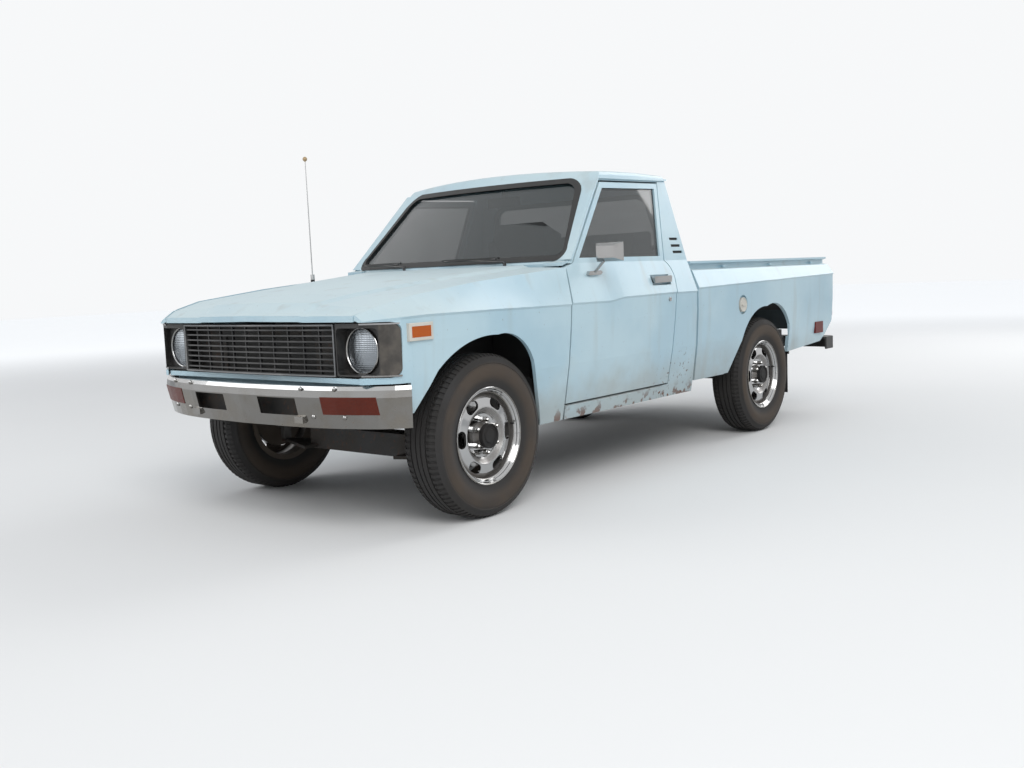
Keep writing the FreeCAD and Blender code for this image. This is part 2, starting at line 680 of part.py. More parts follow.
def make_grille():
    pieces = [grille_band(0, GRILLE_DEEP, GRILLE_LOW, GRILLE_LOW + GRILLE_FRAME),
              grille_band(0, GRILLE_DEEP, GRILLE_HIGH - GRILLE_FRAME, GRILLE_HIGH)]
    back = GRILLE_FRONT + GRILLE_DEEP
    for x in (-GRILLE_HALF, GRILLE_HALF - GRILLE_FRAME):
        pieces.append(block(x, x + GRILLE_FRAME, GRILLE_FRONT, back, GRILLE_LOW, GRILLE_HIGH))
    pitch = (GRILLE_HIGH - GRILLE_LOW) / (GRILLE_BARS + 1)
    for index in range(GRILLE_BARS):
        z = GRILLE_LOW + pitch * (index + 1)
        pieces.append(grille_band(3, 13, z - GRILLE_BAR / 2, z + GRILLE_BAR / 2))
    pitch = 2 * GRILLE_HALF / (GRILLE_POSTS + 1)
    radius = (GRILLE_HALF ** 2 + GRILLE_BOW ** 2) / (2 * GRILLE_BOW)
    for index in range(GRILLE_POSTS):
        x = -GRILLE_HALF + pitch * (index + 1)
        face = GRILLE_FRONT - GRILLE_BOW + x ** 2 / (2 * radius)
        pieces.append(block(x - 2, x + 2, face + 9, face + GRILLE_DEEP, GRILLE_LOW, GRILLE_HIGH))
    return fused(pieces)


LAMP_X = 600.0
LAMP_Z = 749.0
LAMP_RADIUS = 87.0
LAMP_FRONT = -559.0
LAMP_RIM_Y = -547.0
LAMP_DOME_RADIUS = 320.0
BEZEL_FLAT_BACK = SUPPORT_Y - 2
# Plan of the bezel's face, from beside the grille round the corner to the fender
BEZEL_FACE = [(506, -603), (640, -603), (700, -583), (748, -553), (781, -518)]
RECESS_X = (511.0, 714.0)
RECESS_Z = (660.0, 840.0)


def make_bezel():
    """Dark housing with a deep recess for the lamp, and a blank corner that wraps to the fender."""
    outline = BEZEL_FACE + [(752, -518), (740, BEZEL_FLAT_BACK), (506, BEZEL_FLAT_BACK)]
    frame = plan_prism(outline, 600, 900).common(bezel_pocket(BEZEL_GAP))
    recess = block(RECESS_X[0], RECESS_X[1], -700, LAMP_RIM_Y, RECESS_Z[0], RECESS_Z[1])
    upright = [edge for edge in recess.Edges if edge.BoundBox.YLength > 100]
    recess = recess.makeFillet(18, upright)
    hole = rod((LAMP_X, -700, LAMP_Z), (LAMP_X, -500, LAMP_Z), LAMP_RADIUS + 1)
    foot = block(512, 540, BEZEL_FLAT_BACK - 4, SUPPORT_Y, 680, 820)
    return fused([frame.cut(recess), foot]).cut(hole)


def make_headlamp():
    """Round sealed beam: a shallow dome on a drum that reaches back to the support."""
    lens = rod((LAMP_X, LAMP_FRONT - 20, LAMP_Z), (LAMP_X, SUPPORT_Y - 1, LAMP_Z), LAMP_RADIUS)
    dome = Part.makeSphere(LAMP_DOME_RADIUS, V(LAMP_X, LAMP_FRONT + LAMP_DOME_RADIUS, LAMP_Z))
    drum = rod((LAMP_X, SUPPORT_Y - 8, LAMP_Z), (LAMP_X, SUPPORT_Y, LAMP_Z), 60)
    return fused([lens.common(dome), drum])


# Front bumper in plan, from the centre to the left end, and its levels: height, inset
BUMPER_PLAN = [(0, -FRONT_OVERHANG), (240, -692), (370, -680), (470, -664), (540, -648), (620, -622),
               (700, -588), (762, -546), (BUMPER_HALF, -498)]
BUMPER_LEVELS = [(452, 26), (575, 0), (603, 3), (618, 12)]
BUMPER_WALL = 10.0
BUMPER_SHELF = 26.0


def bumper_band(outside, inside, rise=0):
    left = BUMPER_PLAN
    whole = [(-x, y) for x, y in left[:0:-1]] + left
    sections = []
    for z, inset in BUMPER_LEVELS + [(BUMPER_LEVELS[-1][0] + rise, BUMPER_LEVELS[-1][1])] * (rise > 0):
        front = offset_line(whole, inset + outside)
        back = offset_line(whole, inset + inside)
        sections.append([(x, y, z) for x, y in front + back[::-1]])
    return loft(sections)


SLOT_BOX = (115.0, 335.0, 500.0, 570.0)
TURN_BOX = (466.0, 700.0, 508.0, 578.0)


def make_front_bumper():
    bumper = bumper_band(0, BUMPER_WALL)
    top = bumper_band(2, BUMPER_SHELF).common(block(-900, 900, -800, -400, 608, BUMPER_LEVELS[-1][0]))
    bumper = fused([bumper, top])
    for x0, x1, z0, z1 in (SLOT_BOX, TURN_BOX):
        for hole in both_sides(block(x0, x1, -760, -500, z0, z1)):
            bumper = bumper.cut(hole)
    irons = both_sides(block(RAIL_FRONT_OUTER - 30, RAIL_FRONT_OUTER + 20, -676, RAIL_ROWS[0][0], 470, 496))
    return fused([bumper] + irons)


def make_turn_lamp():
    x0, x1, z0, z1 = TURN_BOX
    return bumper_band(-2, 34).common(block(x0, x1, -760, -520, z0, z1))


# Wheels: profiles as (offset outwards from the wheel's centre plane, radius)

def revolved(profile, centre):
    x, y, z = centre
    points = [V(x + u, y, z + r) for u, r in profile]
    face = Part.Face(Part.makePolygon(points + [points[0]]))
    return face.revolve(V(x, y, z), V(1, 0, 0), 360)


def make_tyre(centre):
    seat = RIM_HALF_WIDTH - FLANGE_THICK - PIN_CLEARANCE
    half = [(seat, BEAD_RADIUS + PIN_CLEARANCE), (seat, RIM_FLANGE_RADIUS), (TYRE_HALF_WIDTH, 272),
            (84, 336), (62, TYRE_RADIUS)]
    return revolved(half + [(-u, r) for u, r in half[::-1]], centre)


def wheel_window(x, y, z):
    """Oval through the disc, longer round the wheel than across it."""
    spread = WINDOW_LENGTH / 2 - WINDOW_HALF_WIDTH
    ends = [rod((x, y + side * spread, z), (x + 90, y + side * spread, z), WINDOW_HALF_WIDTH) for side in (1, -1)]
    middle = block(x, x + 90, y - spread, y + spread, z - WINDOW_HALF_WIDTH, z + WINDOW_HALF_WIDTH)
    return fused([middle] + ends)


def make_wheel(centre):
    """Steel wheel: barrel, dished disc with windows, hub with bore, lugs and a brake drum."""
    x, y, z = centre
    barrel = [(RIM_HALF_WIDTH, 200), (RIM_HALF_WIDTH, RIM_FLANGE_RADIUS),
              (RIM_HALF_WIDTH - FLANGE_THICK, RIM_FLANGE_RADIUS), (RIM_HALF_WIDTH - FLANGE_THICK, BEAD_RADIUS),
              (FLANGE_THICK - RIM_HALF_WIDTH, BEAD_RADIUS), (FLANGE_THICK - RIM_HALF_WIDTH, RIM_FLANGE_RADIUS),
              (-RIM_HALF_WIDTH, RIM_FLANGE_RADIUS), (-RIM_HALF_WIDTH, 183), (60, 183)]
    disc = [(40, 184), (56, 160), (62, 120), (40, 92), (36, 58), (26, 58), (28, 96), (50, 120), (44, 158), (26, 184)]
    hub = [(80, 0), (80, 34), (72, 40), (30, 58), (-10, 58), (-10, 140), (-24, 140), (-24, 30), (-40, 30), (-40, 0)]
    pieces = []
    for profile in (barrel, disc, hub):
        pieces.append(revolved(profile, centre))
    oval = wheel_window(x, y, z + WINDOW_CIRCLE_RADIUS)
    windows = []
    for index in range(WINDOW_COUNT):
        window = oval.copy()
        window.rotate(V(x, y, z), V(1, 0, 0), 360 / WINDOW_COUNT * (index + 0.5))
        windows.append(window)
    pieces[1] = pieces[1].cut(windows)
    for index in range(LUG_COUNT):
        turn = math.radians(360 / LUG_COUNT * index)
        cy = y + LUG_CIRCLE_RADIUS * math.sin(turn)
        cz = z + LUG_CIRCLE_RADIUS * math.cos(turn)
        corners = []
        for corner in range(6):
            around = math.radians(60 * corner)
            corners.append((x + 30, cy + 11 * math.cos(around), cz + 11 * math.sin(around)))
        pieces.append(Part.Face(wire(corners)).extrude(V(32, 0, 0)))
    wheel = fused(pieces)
    bore = SPINDLE_RADIUS + PIN_CLEARANCE
    return wheel.cut(rod((x - 60, y, z), (SPINDLE_END_X + PIN_CLEARANCE, y, z), bore))


def make_knuckle():
    """Left upright with its two ball pins, spindle and steering arm."""
    z = TYRE_RADIUS
    upright = block(586, 612, -22, 22, LOWER_ARM_TOP + PIN_CLEARANCE, UPPER_ARM_LOW - PIN_CLEARANCE)
    flange = rod((612, 0, z), (628, 0, z), 50)
    spindle = rod((612, 0, z), (SPINDLE_END_X, 0, z), SPINDLE_RADIUS)
    lower_pin = rod((KINGPIN_X, 0, LOWER_ARM_TOP - 18), (KINGPIN_X, 0, LOWER_ARM_TOP + 20), BALL_PIN_RADIUS)
    upper_pin = rod((KINGPIN_X, 0, UPPER_ARM_LOW - 20), (KINGPIN_X, 0, UPPER_ARM_LOW + 16), BALL_PIN_RADIUS)
    arm = plan_prism([(588, 10), (610, 10), (596, 150), (570, 150)], 296, 312)
    return fused([upright, flange, spindle, lower_pin, upper_pin, arm])


LOWER_ARM_TOP = 246.0
UPPER_ARM_LOW = 450.0
RAIL_FRONT_OUTER = 350.0


def make_front_suspension():
    beam = block(-300, 300, -50, 50, 225, 330)
    pieces = [beam]
    for side in (1, -1):
        inner = min(side * 298, side * 348)
        pieces.append(block(inner, inner + 50, -50, 50, 225, RAIL_ROWS[0][3]))
        lower = [(side * 300, -130), (side * 300, 130), (side * 560, 26), (side * 614, 16),
                 (side * 614, -16), (side * 560, -26)]
        upper = [(side * RAIL_FRONT_OUTER, -90), (side * RAIL_FRONT_OUTER, 90), (side * 570, 20), (side * 614, 16),
                 (side * 614, -16), (side * 570, -20)]
        arms = [plan_prism(lower, LOWER_ARM_TOP - 14, LOWER_ARM_TOP),
                plan_prism(upper, UPPER_ARM_LOW, UPPER_ARM_LOW + 12)]
        hole = rod((side * KINGPIN_X, 0, 200), (side * KINGPIN_X, 0, 500), BALL_PIN_RADIUS + PIN_CLEARANCE)
        pieces += [arm.cut(hole) for arm in arms]
    return fused(pieces)


# Frame rails: station, inner x, outer x, low z, high z
RAIL_ROWS = [(-580, 300, 350, 432, 530), (330, 300, 350, 432, 530), (540, 350, 405, 330, 428),
             (700, 385, 440, 318, FLOOR_Z), (1760, 385, 440, 318, FLOOR_Z),
             (WHEELBASE - 360, 385, 440, 475, 590), (WHEELBASE + 360, 385, 440, 475, 590),
             (TAIL - 140, 385, 440, 445, 560)]


def make_rail():
    sections = []
    for y, inner, outer, low, high in RAIL_ROWS:
        sections.append([(inner, y, low), (outer, y, low), (outer, y, high), (inner, y, high)])
    return loft(sections)


def rail_top(y):
    return between([(row[0], row[4]) for row in RAIL_ROWS], y)


# Crossmembers: front station, rear station, half width, low z, high z
CROSSMEMBERS = [(-570, -520, 300, 450, 520), (1000, 1080, 385, 330, 378), (1700, 1750, 385, 330, 352),
                (WHEELBASE - 380, WHEELBASE - 330, 385, 500, 560),
                (WHEELBASE + 380, WHEELBASE + 430, 385, 490, 570), (TAIL - 200, TAIL - 144, 385, 460, 545)]


def make_crossmembers():
    return [block(-half, half, y0, y1, z0, z1) for y0, y1, half, z0, z1 in CROSSMEMBERS]


def make_engine():
    cast = block(-210, 210, -330, 300, 400, 880)
    mounts = block(-300, 300, -60, 20, 436, 500)
    return fused([cast, mounts])


def make_driveline():
    gearbox = loft([[(130, 300, 400), (130, 300, 600), (-130, 300, 600), (-130, 300, 400)],
                    [(75, 900, 400), (75, 900, 500), (-75, 900, 500), (-75, 900, 400)]])
    foot = block(-60, 60, 860, 1040, 378, 402)
    shaft = rod((0, 890, 440), (0, WHEELBASE - 132, 356), 32)
    return fused([gearbox, foot, shaft])


def make_rear_axle():
    z = TYRE_RADIUS
    tube = rod((-628, WHEELBASE, z), (628, WHEELBASE, z), 38)
    diff = rod((0, WHEELBASE - 130, z), (0, WHEELBASE + 110, z), 120)
    ends = rod((-SPINDLE_END_X, WHEELBASE, z), (SPINDLE_END_X, WHEELBASE, z), SPINDLE_RADIUS)
    return fused([tube, diff, ends])


def make_leaf_spring():
    """Left spring pack over the axle, with its eyes and hangers against the rail."""
    axle_top = TYRE_RADIUS + 38 + PIN_CLEARANCE
    profile = [(-600, 486), (-300, 412), (-80, axle_top), (80, axle_top), (300, 412), (640, 500), (640, 512),
               (300, 440), (80, axle_top + 42), (-80, axle_top + 42), (-300, 440), (-600, 498)]
    leaves = side_prism([(WHEELBASE + y, z) for y, z in profile], 462, 522)
    hangers = [block(440, 522, WHEELBASE - 615, WHEELBASE - 585, 400, 520),
               block(440, 522, WHEELBASE + 625, WHEELBASE + 655, 480, 560)]
    return fused([leaves] + hangers)


def make_exhaust():
    x = -236
    points = [(x, 280, 420), (x, 640, 292), (x, 1770, 292), (x, WHEELBASE - 370, 440), (x, WHEELBASE + 300, 440),
              (x, TAIL - 320, 380), (x, TAIL - 60, 360)]
    pieces = []
    for start, end in zip(points, points[1:]):
        pieces.append(rod(start, end, 24))
    for point in points[1:-1]:
        pieces.append(Part.makeSphere(24, V(*point)))
    pieces.append(rod((x, 1150, 292), (x, 1620, 292), 66))
    pieces.append(block(x - 8, x + 8, 1010, 1070, 305, 330))
    pieces.append(block(x - 8, x + 8, WHEELBASE + 390, WHEELBASE + 420, 430, 490))
    return fused(pieces)


def make_fuel_tank():
    tank = block(70, 360, WHEELBASE - 770, WHEELBASE - 400, 345, 560)
    straps = [block(70, 385, WHEELBASE - 720, WHEELBASE - 690, 380, 420),
              block(70, 385, WHEELBASE - 460, WHEELBASE - 430, 480, 520)]
    return fused([tank] + straps)


# Load bed
WHEELHOUSE_PROFILE = [(-435, 600), (-375, 735), (-200, 798), (200, 798), (360, 735), (425, 600)]
WHEELHOUSE = [(WHEELBASE + y, z) for y, z in WHEELHOUSE_PROFILE]
WHEELHOUSE_X = 505.0
WHEELHOUSE_THICK = 14.0


def wheelhouse_inner():
    lower = [(WHEELHOUSE[0][0] + 16, 560), (WHEELHOUSE[0][0] + 16, 600)]
    middle = [(WHEELBASE + y, z) for y, z in ((-365, 726), (-196, 784), (196, 784), (350, 726))]
    upper = [(WHEELHOUSE[-1][0] - 16, 600), (WHEELHOUSE[-1][0] - 16, 560)]
    return lower + middle + upper


def make_bed_tub():
    """Bed floor with lengthwise ribs, front wall, wheelhouses and cross bolsters."""
    floor = block(-BED_INNER_X, BED_INNER_X, BED_FRONT_Y, BED_END_Y - 54, BED_FLOOR_Z - 18, BED_FLOOR_Z)
    pieces = [floor]
    for index in range(-5, 6):
        x = index * 84
        pieces.append(block(x - 22, x + 22, BED_FRONT_Y + 30, BED_END_Y - 54, BED_FLOOR_Z - 2, BED_FLOOR_Z + 8))
    pieces.append(block(-BED_INNER_X, BED_INNER_X, BED_FRONT_Y, BED_FRONT_Y + 28, 600, BED_RAIL_Z))
    for y in (BED_FRONT_Y + 88, WHEELBASE - 270, WHEELBASE + 280, TAIL - 220):
        top = max(rail_top(y), rail_top(y + 50))
        for side in (1, -1):
            low = min(side * 390, side * 435)
            pieces.append(block(low, low + 45, y, y + 50, top, BED_FLOOR_Z - 10))
        pieces.append(block(-500, 500, y, y + 50, BED_FLOOR_Z - 44, BED_FLOOR_Z - 10))
    tub = fused(pieces)
    for side in (1, -1):
        near = side * WHEELHOUSE_X
        far = side * BED_INNER_X
        shell = side_prism(WHEELHOUSE, near, far)
        inside = side_prism(wheelhouse_inner(), near + side * WHEELHOUSE_THICK, far + side)
        tub = tub.fuse(shell).cut(inside)
    return tub.removeSplitter()


def bed_side_section(y, crease):
    outline = flank_points(400.0, crease)
    outline += [(757, 1002), (722, 1010), (722, 1034), (746, 1040), (746, BED_RAIL_Z),
                (BED_INNER_X, BED_RAIL_Z), (BED_INNER_X, 600), (flank_x(600) - BED_SKIN, 600),
                (flank_x(400) - BED_SKIN, 400)]
    return [(x, y, z) for x, z in outline]


def rear_arch():
    place = lambda y, z: V(640, WHEELBASE + y, z)
    steps = [(-510, 403), (-465, 403), (-326, 578), ((-200, 722), (-10, 766)), ((230, 738), (326, 635)),
             (332, 555), (334, 440), (334, 300)]
    return curved_face((-510, 300), steps, place).extrude(V(260, 0, 0))


FILLER_Y = WHEELBASE - 330
FILLER_Z = 790.0
FILLER_RADIUS = 56.0
HOOK_STATIONS = [BED_FRONT_Y + 406, BED_FRONT_Y + 1015, BED_FRONT_Y + 1640]
TAIL_LAMP = {"x0": 706.0, "x1": 782.0, "z0": 660.0, "z1": 850.0, "deep": 12.0}


def make_bed_side():
    """Left side of the bed, with rope hooks, the wheel arch and the lamp seat."""
    body = loft([bed_side_section(BED_FRONT_Y, 908), bed_side_section(BED_END_Y, 940)])
    under = side_prism([(WHEELBASE + 300, 300), (WHEELBASE + 300, 458), (TAIL - 257, 490), (TAIL - 190, 532), (BED_END_Y, 622), (TAIL, 622),
                        (3700, 300)], 500, 900)
    body = body.cut(rear_arch()).cut(under)
    inside = side_prism(wheelhouse_inner(), BED_INNER_X - 1, 768)
    body = body.cut(inside)
    hooks = []
    for y in HOOK_STATIONS:
        hooks.append(block(716, 742, y - 6, y + 6, 1012, 1024))
        hooks.append(block(734, 742, y - 14, y + 14, 1012, 1024))
    body = fused([body] + hooks)
    lamp = TAIL_LAMP
    seat = block(lamp["x0"], lamp["x1"], BED_END_Y - lamp["deep"], BED_END_Y + 10, lamp["z0"], lamp["z1"])
    pin_hole = rod((600, TAILGATE_PIVOT_Y, TAILGATE_PIVOT_Z), (704, TAILGATE_PIVOT_Y, TAILGATE_PIVOT_Z),
                   8 + PIN_CLEARANCE)
    return body.cut(seat).cut(pin_hole)


def make_tailgate():
    half = BED_INNER_X - PANEL_GAP
    front = BED_END_Y - TAILGATE_THICK
    panel = block(-half, half, front, BED_END_Y, BED_FLOOR_Z, BED_RAIL_Z - 4)
    recess = block(-half + 90, half - 90, BED_END_Y - 6, BED_END_Y + 5, BED_FLOOR_Z + 90, BED_RAIL_Z - 110)
    pins = rod((-half - 16, TAILGATE_PIVOT_Y, TAILGATE_PIVOT_Z), (half + 16, TAILGATE_PIVOT_Y, TAILGATE_PIVOT_Z), 8)
    return fused([panel.cut(recess), pins])


REAR_BUMPER_PLAN = [(0, TAIL), (640, TAIL - 4), (752, TAIL - 30), (786, TAIL - 78), (786, TAIL - 190)]


def make_rear_bumper():
    whole = [(-x, y) for x, y in REAR_BUMPER_PLAN[:0:-1]] + REAR_BUMPER_PLAN
    inner = offset_line(whole, -12)
    skin = plan_prism(whole + inner[::-1], 430, 512)
    top = plan_prism(whole, 500, 512).cut(block(-700, 700, TAIL - 300, TAIL - 90, 400, 600))
    irons = []
    for side in (1, -1):
        low = min(side * 385, side * 440)
        irons.append(block(low, low + 55, RAIL_ROWS[-1][0], TAIL - 8, 450, 505))
    return fused([skin, top] + irons)


# Cab fittings

def make_dashboard():
    outline = [(700, 1046), (655, 1010), (640, 900), (700, 830), (800, 800), (850, 840), (858, 960), (800, 1046)]
    column = rod(tuple(COLUMN_FOOT), tuple(WHEEL_HUB), SHROUD_RADIUS + 1)
    return side_prism(outline, -FLOOR_HALF + 1, FLOOR_HALF - 1).cut(column)


COLUMN_FOOT = V(350, 484.2, 731)
SHROUD_RADIUS = 36.0
WHEEL_HUB = V(350, 955, 1030)


def make_steering_column():
    way = WHEEL_HUB - COLUMN_FOOT
    way.normalize()
    end = WHEEL_HUB - way * 26
    tube = rod(tuple(COLUMN_FOOT), tuple(end), 26)
    shroud = rod(tuple(end - way * 120), tuple(end), SHROUD_RADIUS)
    stem = rod(tuple(end - way * 4), tuple(WHEEL_HUB + way * 4), 9)
    return fused([tube, shroud, stem])


def make_steering_wheel():
    way = WHEEL_HUB - COLUMN_FOOT
    way.normalize()
    ring = Part.makeTorus(185, 11, WHEEL_HUB, way)
    hub = Part.makeCylinder(42, 34, WHEEL_HUB - way * 20, way)
    across = V(1, 0, 0)
    up = way.cross(across)
    spokes = []
    for turn in (90, 210, 330):
        angle = math.radians(turn + 180)
        out = across * math.cos(angle) + up * math.sin(angle)
        flat = way.cross(out)
        corners = [WHEEL_HUB + out * 30 + flat * 16, WHEEL_HUB + out * 180 + flat * 9,
                   WHEEL_HUB + out * 180 - flat * 9, WHEEL_HUB + out * 30 - flat * 16]
        corners = [corner - way * 4 for corner in corners]
        spokes.append(Part.Face(Part.makePolygon(corners + [corners[0]])).extrude(way * 8))
    wheel = fused([ring, hub] + spokes)
    bore = Part.makeCylinder(9 + PIN_CLEARANCE, 26 + PIN_CLEARANCE, WHEEL_HUB - way * 22, way)
    return wheel.cut(bore)


SEAT_BASE_Z = 558.3
SEAT_JOIN_Y = 1566.0


def make_seat_cushion():
    outline = [(1110, SEAT_BASE_Z), (1100, 760), (1180, 800), (SEAT_JOIN_Y, 770), (SEAT_JOIN_Y, SEAT_BASE_Z)]
    return side_prism(outline, -600, 600)


def make_seat_frame():
    rails = []
    for x in (-520, -200, 200, 520):
        rails.append(block(x - 15, x + 15, 1150, 1560, FLOOR_Z + FLOOR_THICK, 558))
    plate = block(-590, 590, 1120, 1580, 540, 558)
    return fused([plate] + rails)


def make_seat_back():
    front = SEAT_JOIN_Y + PIN_CLEARANCE
    outline = [(front, 600), (front, 800), (1592, 1236), (1632, 1250), (1650, 1210), (1680, 640)]
    return side_prism(outline, -600, 600)


WIPER_STAND_OFF = 14.0
WIPER_BLADE_SHARE = 0.9


def make_wipers():
    """Two arms with blades, parked on the foot of the glass."""
    wipers = []
    for pivot_x, tip_x in ((404.0, -10.0), (-258.0, -640.0)):
        foot = cowl_foot_y(pivot_x)
        pivot = V(pivot_x, foot - WIPER_STAND_OFF, COWL_TOP_Z)
        middle = (pivot_x + tip_x) / 2
        wipers.append([pivot, V(middle, cowl_foot_y(middle) - WIPER_STAND_OFF, 1096)])
    shapes = []
    for pivot, elbow in wipers:
        shaft = rod((pivot.x, pivot.y, COWL_TOP_Z), (pivot.x, pivot.y, 1084), 8)
        arm = rod((pivot.x, pivot.y, 1078), tuple(elbow), 5)
        span = (elbow - pivot) * 0.85
        blade_start = elbow - V(span.x, 0, 0) * WIPER_BLADE_SHARE
        blade_end = elbow + V(span.x, 0, 0) * WIPER_BLADE_SHARE
        blade_start.y = cowl_foot_y(blade_start.x) - WIPER_STAND_OFF
        blade_end.y = cowl_foot_y(blade_end.x) - WIPER_STAND_OFF
        blade = rod(tuple(blade_start), tuple(blade_end), 6)
        shapes.append(fused([shaft, arm, blade]))
    return shapes


def cowl_foot_y(x):
    return 560 + 70 * (x / 700) ** 2


def make_antenna(fender):
    x = -742
    base = rod((x, 352, 1000), (x, 352, 1062), 11).cut(fender)
    mast = rod((x, 352, 1060), (x + 10, 340, 1660), 3)
    ball = Part.makeSphere(12, V(x + 10, 340, 1664))
    return fused([base, mast, ball])


def make_door_fittings(panel, with_mirror):
    """Chrome handle, and on the driver's side the mirror on its arm."""
    handle = side_prism([(1296, 972), (1302, 980), (1462, 982), (1468, 974), (1464, 948), (1300, 946)], HANDLE_SEAT_X, 792)
    pieces = [handle]
    if with_mirror:
        foot = side_prism([(740, 1004), (756, 1020), (846, 1022), (860, 1012), (846, 1002), (756, 1000)], 744, 770)
        arm = rod((762, 800, 1012), (822, 794, 1066), 7)
        outer = MIRROR_REACH
        head = loft([[(782, 796, 1062), (outer, 796, 1062), (outer, 796, 1150), (782, 796, 1150)],
                     [(808, 752, 1078), (906, 752, 1078), (906, 752, 1134), (808, 752, 1134)]])
        pieces.append(fused([foot, arm, head]))
    return [piece.cut(panel) for piece in pieces]


def make_markers(panel, y0, y1, z0, z1):
    x = flank_x((z0 + z1) / 2)
    return both_sides(block(x - 8, x + 9, y0, y1, z0, z1).cut(panel))


def make_mud_flaps(panel):
    front = WHEELBASE + 390
    flap = block(575, 735, front, front + 6, 190, 470)
    bracket = block(575, 750, front - 12, front, 440, 470)
    return both_sides(fused([flap, bracket]).cut(panel))


def main():
    os.makedirs("parts", exist_ok=True)
    seals, panes, openings = make_screens()
    shell = make_cab_shell(openings)
    save("cab_shell", shell)
    save("cab_glass", Part.makeCompound(panes))
    save("window_seals", Part.makeCompound(seals))
    save("cab_floor", make_cab_floor())
    save("cowl", make_cowl())
    save("dashboard", make_dashboard())
    save("steering_column", make_steering_column())
    save("steering_wheel", make_steering_wheel())
    save("seat_cushion", make_seat_cushion())
    save("seat_back", make_seat_back())
    save("seat_frame", make_seat_frame())
    panel, pane = make_door()
    save("door_left", panel)
    save("door_glass_left", pane)
    save("door_right", mirrored(panel))
    save("door_glass_right", mirrored(pane))
    save("door_fittings_left", Part.makeCompound(make_door_fittings(panel, True)))
    save("door_fittings_right", mirrored(make_door_fittings(panel, False)[0]))
    save("hood", make_hood())
    fender = make_fender()
    save("fenders", Part.makeCompound(both_sides(fender)))
    save("front_panel", make_front_panel().cut(fender).cut(mirrored(fender)))
    save("radiator_support", make_radiator_support(fender))
    save("grille", make_grille())
    save("lamp_bezels", Part.makeCompound(both_sides(make_bezel())))
    save("headlamps", Part.makeCompound(both_sides(make_headlamp())))
    save("front_bumper", make_front_bumper())
    amber = both_sides(make_turn_lamp()) + make_markers(fender, -487, -368, 789, 846)
    save("amber_lamps", Part.makeCompound(amber))
    save("wipers", Part.makeCompound(make_wipers()))
    save("antenna", make_antenna(mirrored(fender)))
    save("chassis_frame", fused(both_sides(make_rail()) + make_crossmembers()))
    save("engine_block", make_engine())
    save("driveline", make_driveline())
    save("exhaust", make_exhaust())
    save("fuel_tank", make_fuel_tank())
    save("front_suspension", make_front_suspension())
    save("rear_axle", make_rear_axle())
    save("leaf_springs", Part.makeCompound(both_sides(make_leaf_spring())))
    save("bed_tub", make_bed_tub())
    bed_side = make_bed_side()
    recess = rod((CREASE_X - 24, FILLER_Y, FILLER_Z), (CREASE_X + 20, FILLER_Y, FILLER_Z), FILLER_RADIUS)
    save("bed_sides", Part.makeCompound([bed_side.cut(recess), mirrored(bed_side)]))
    save("fuel_filler", rod((CREASE_X - 24, FILLER_Y, FILLER_Z), (CREASE_X - 6, FILLER_Y, FILLER_Z), 33))
    save("tailgate", make_tailgate())
    lamp = TAIL_LAMP
    tail_lamp = block(lamp["x0"], lamp["x1"], BED_END_Y - lamp["deep"], BED_END_Y + 6, lamp["z0"], lamp["z1"])
    red = both_sides(tail_lamp) + make_markers(bed_side, TAIL - 377, TAIL - 253, 549, 624)
    save("red_lamps", Part.makeCompound(red))
    save("rear_bumper", make_rear_bumper())
    save("mud_flaps", Part.makeCompound(make_mud_flaps(bed_side)))
    knuckle = make_knuckle()
    save("knuckle_left", knuckle)
    save("knuckle_right", mirrored(knuckle))
    for axle, y in (("front", 0.0), ("rear", WHEELBASE)):
        centre = (WHEEL_X, y, TYRE_RADIUS)
        tyre = make_tyre(centre)
        wheel = make_wheel(centre)
        save("tyre_" + axle + "_left", tyre)
        save("wheel_" + axle + "_left", wheel)
        save("tyre_" + axle + "_right", mirrored(tyre))
        save("wheel_" + axle + "_right", mirrored(wheel))


main()
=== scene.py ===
import math

import bpy
from mathutils import Matrix, Vector


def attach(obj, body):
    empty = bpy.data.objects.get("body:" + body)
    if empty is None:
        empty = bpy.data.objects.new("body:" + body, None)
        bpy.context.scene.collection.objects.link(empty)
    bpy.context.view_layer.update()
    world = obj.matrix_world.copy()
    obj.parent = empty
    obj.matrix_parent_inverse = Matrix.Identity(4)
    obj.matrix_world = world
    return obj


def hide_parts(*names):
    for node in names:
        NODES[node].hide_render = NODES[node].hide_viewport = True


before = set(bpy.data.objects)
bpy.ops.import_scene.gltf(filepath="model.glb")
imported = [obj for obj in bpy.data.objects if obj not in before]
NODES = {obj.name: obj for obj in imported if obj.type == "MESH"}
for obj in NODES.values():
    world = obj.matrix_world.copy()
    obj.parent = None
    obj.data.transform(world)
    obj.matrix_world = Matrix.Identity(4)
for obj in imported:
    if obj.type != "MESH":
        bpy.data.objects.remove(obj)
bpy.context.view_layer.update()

# Camera: stands in front of the truck's left front corner, at the height of the hood,
# and looks a little down. Its place and lens were solved from the photo.
CAMERA_PLACE = (3.4895, -4.7555, 1.0185)
CAMERA_AZIMUTH = math.radians(39.33)
CAMERA_ELEVATION = math.radians(6.05)
CAMERA_ROLL = math.radians(-2.35)
CAMERA_LENS = 36.24
SENSOR_WIDTH = 36

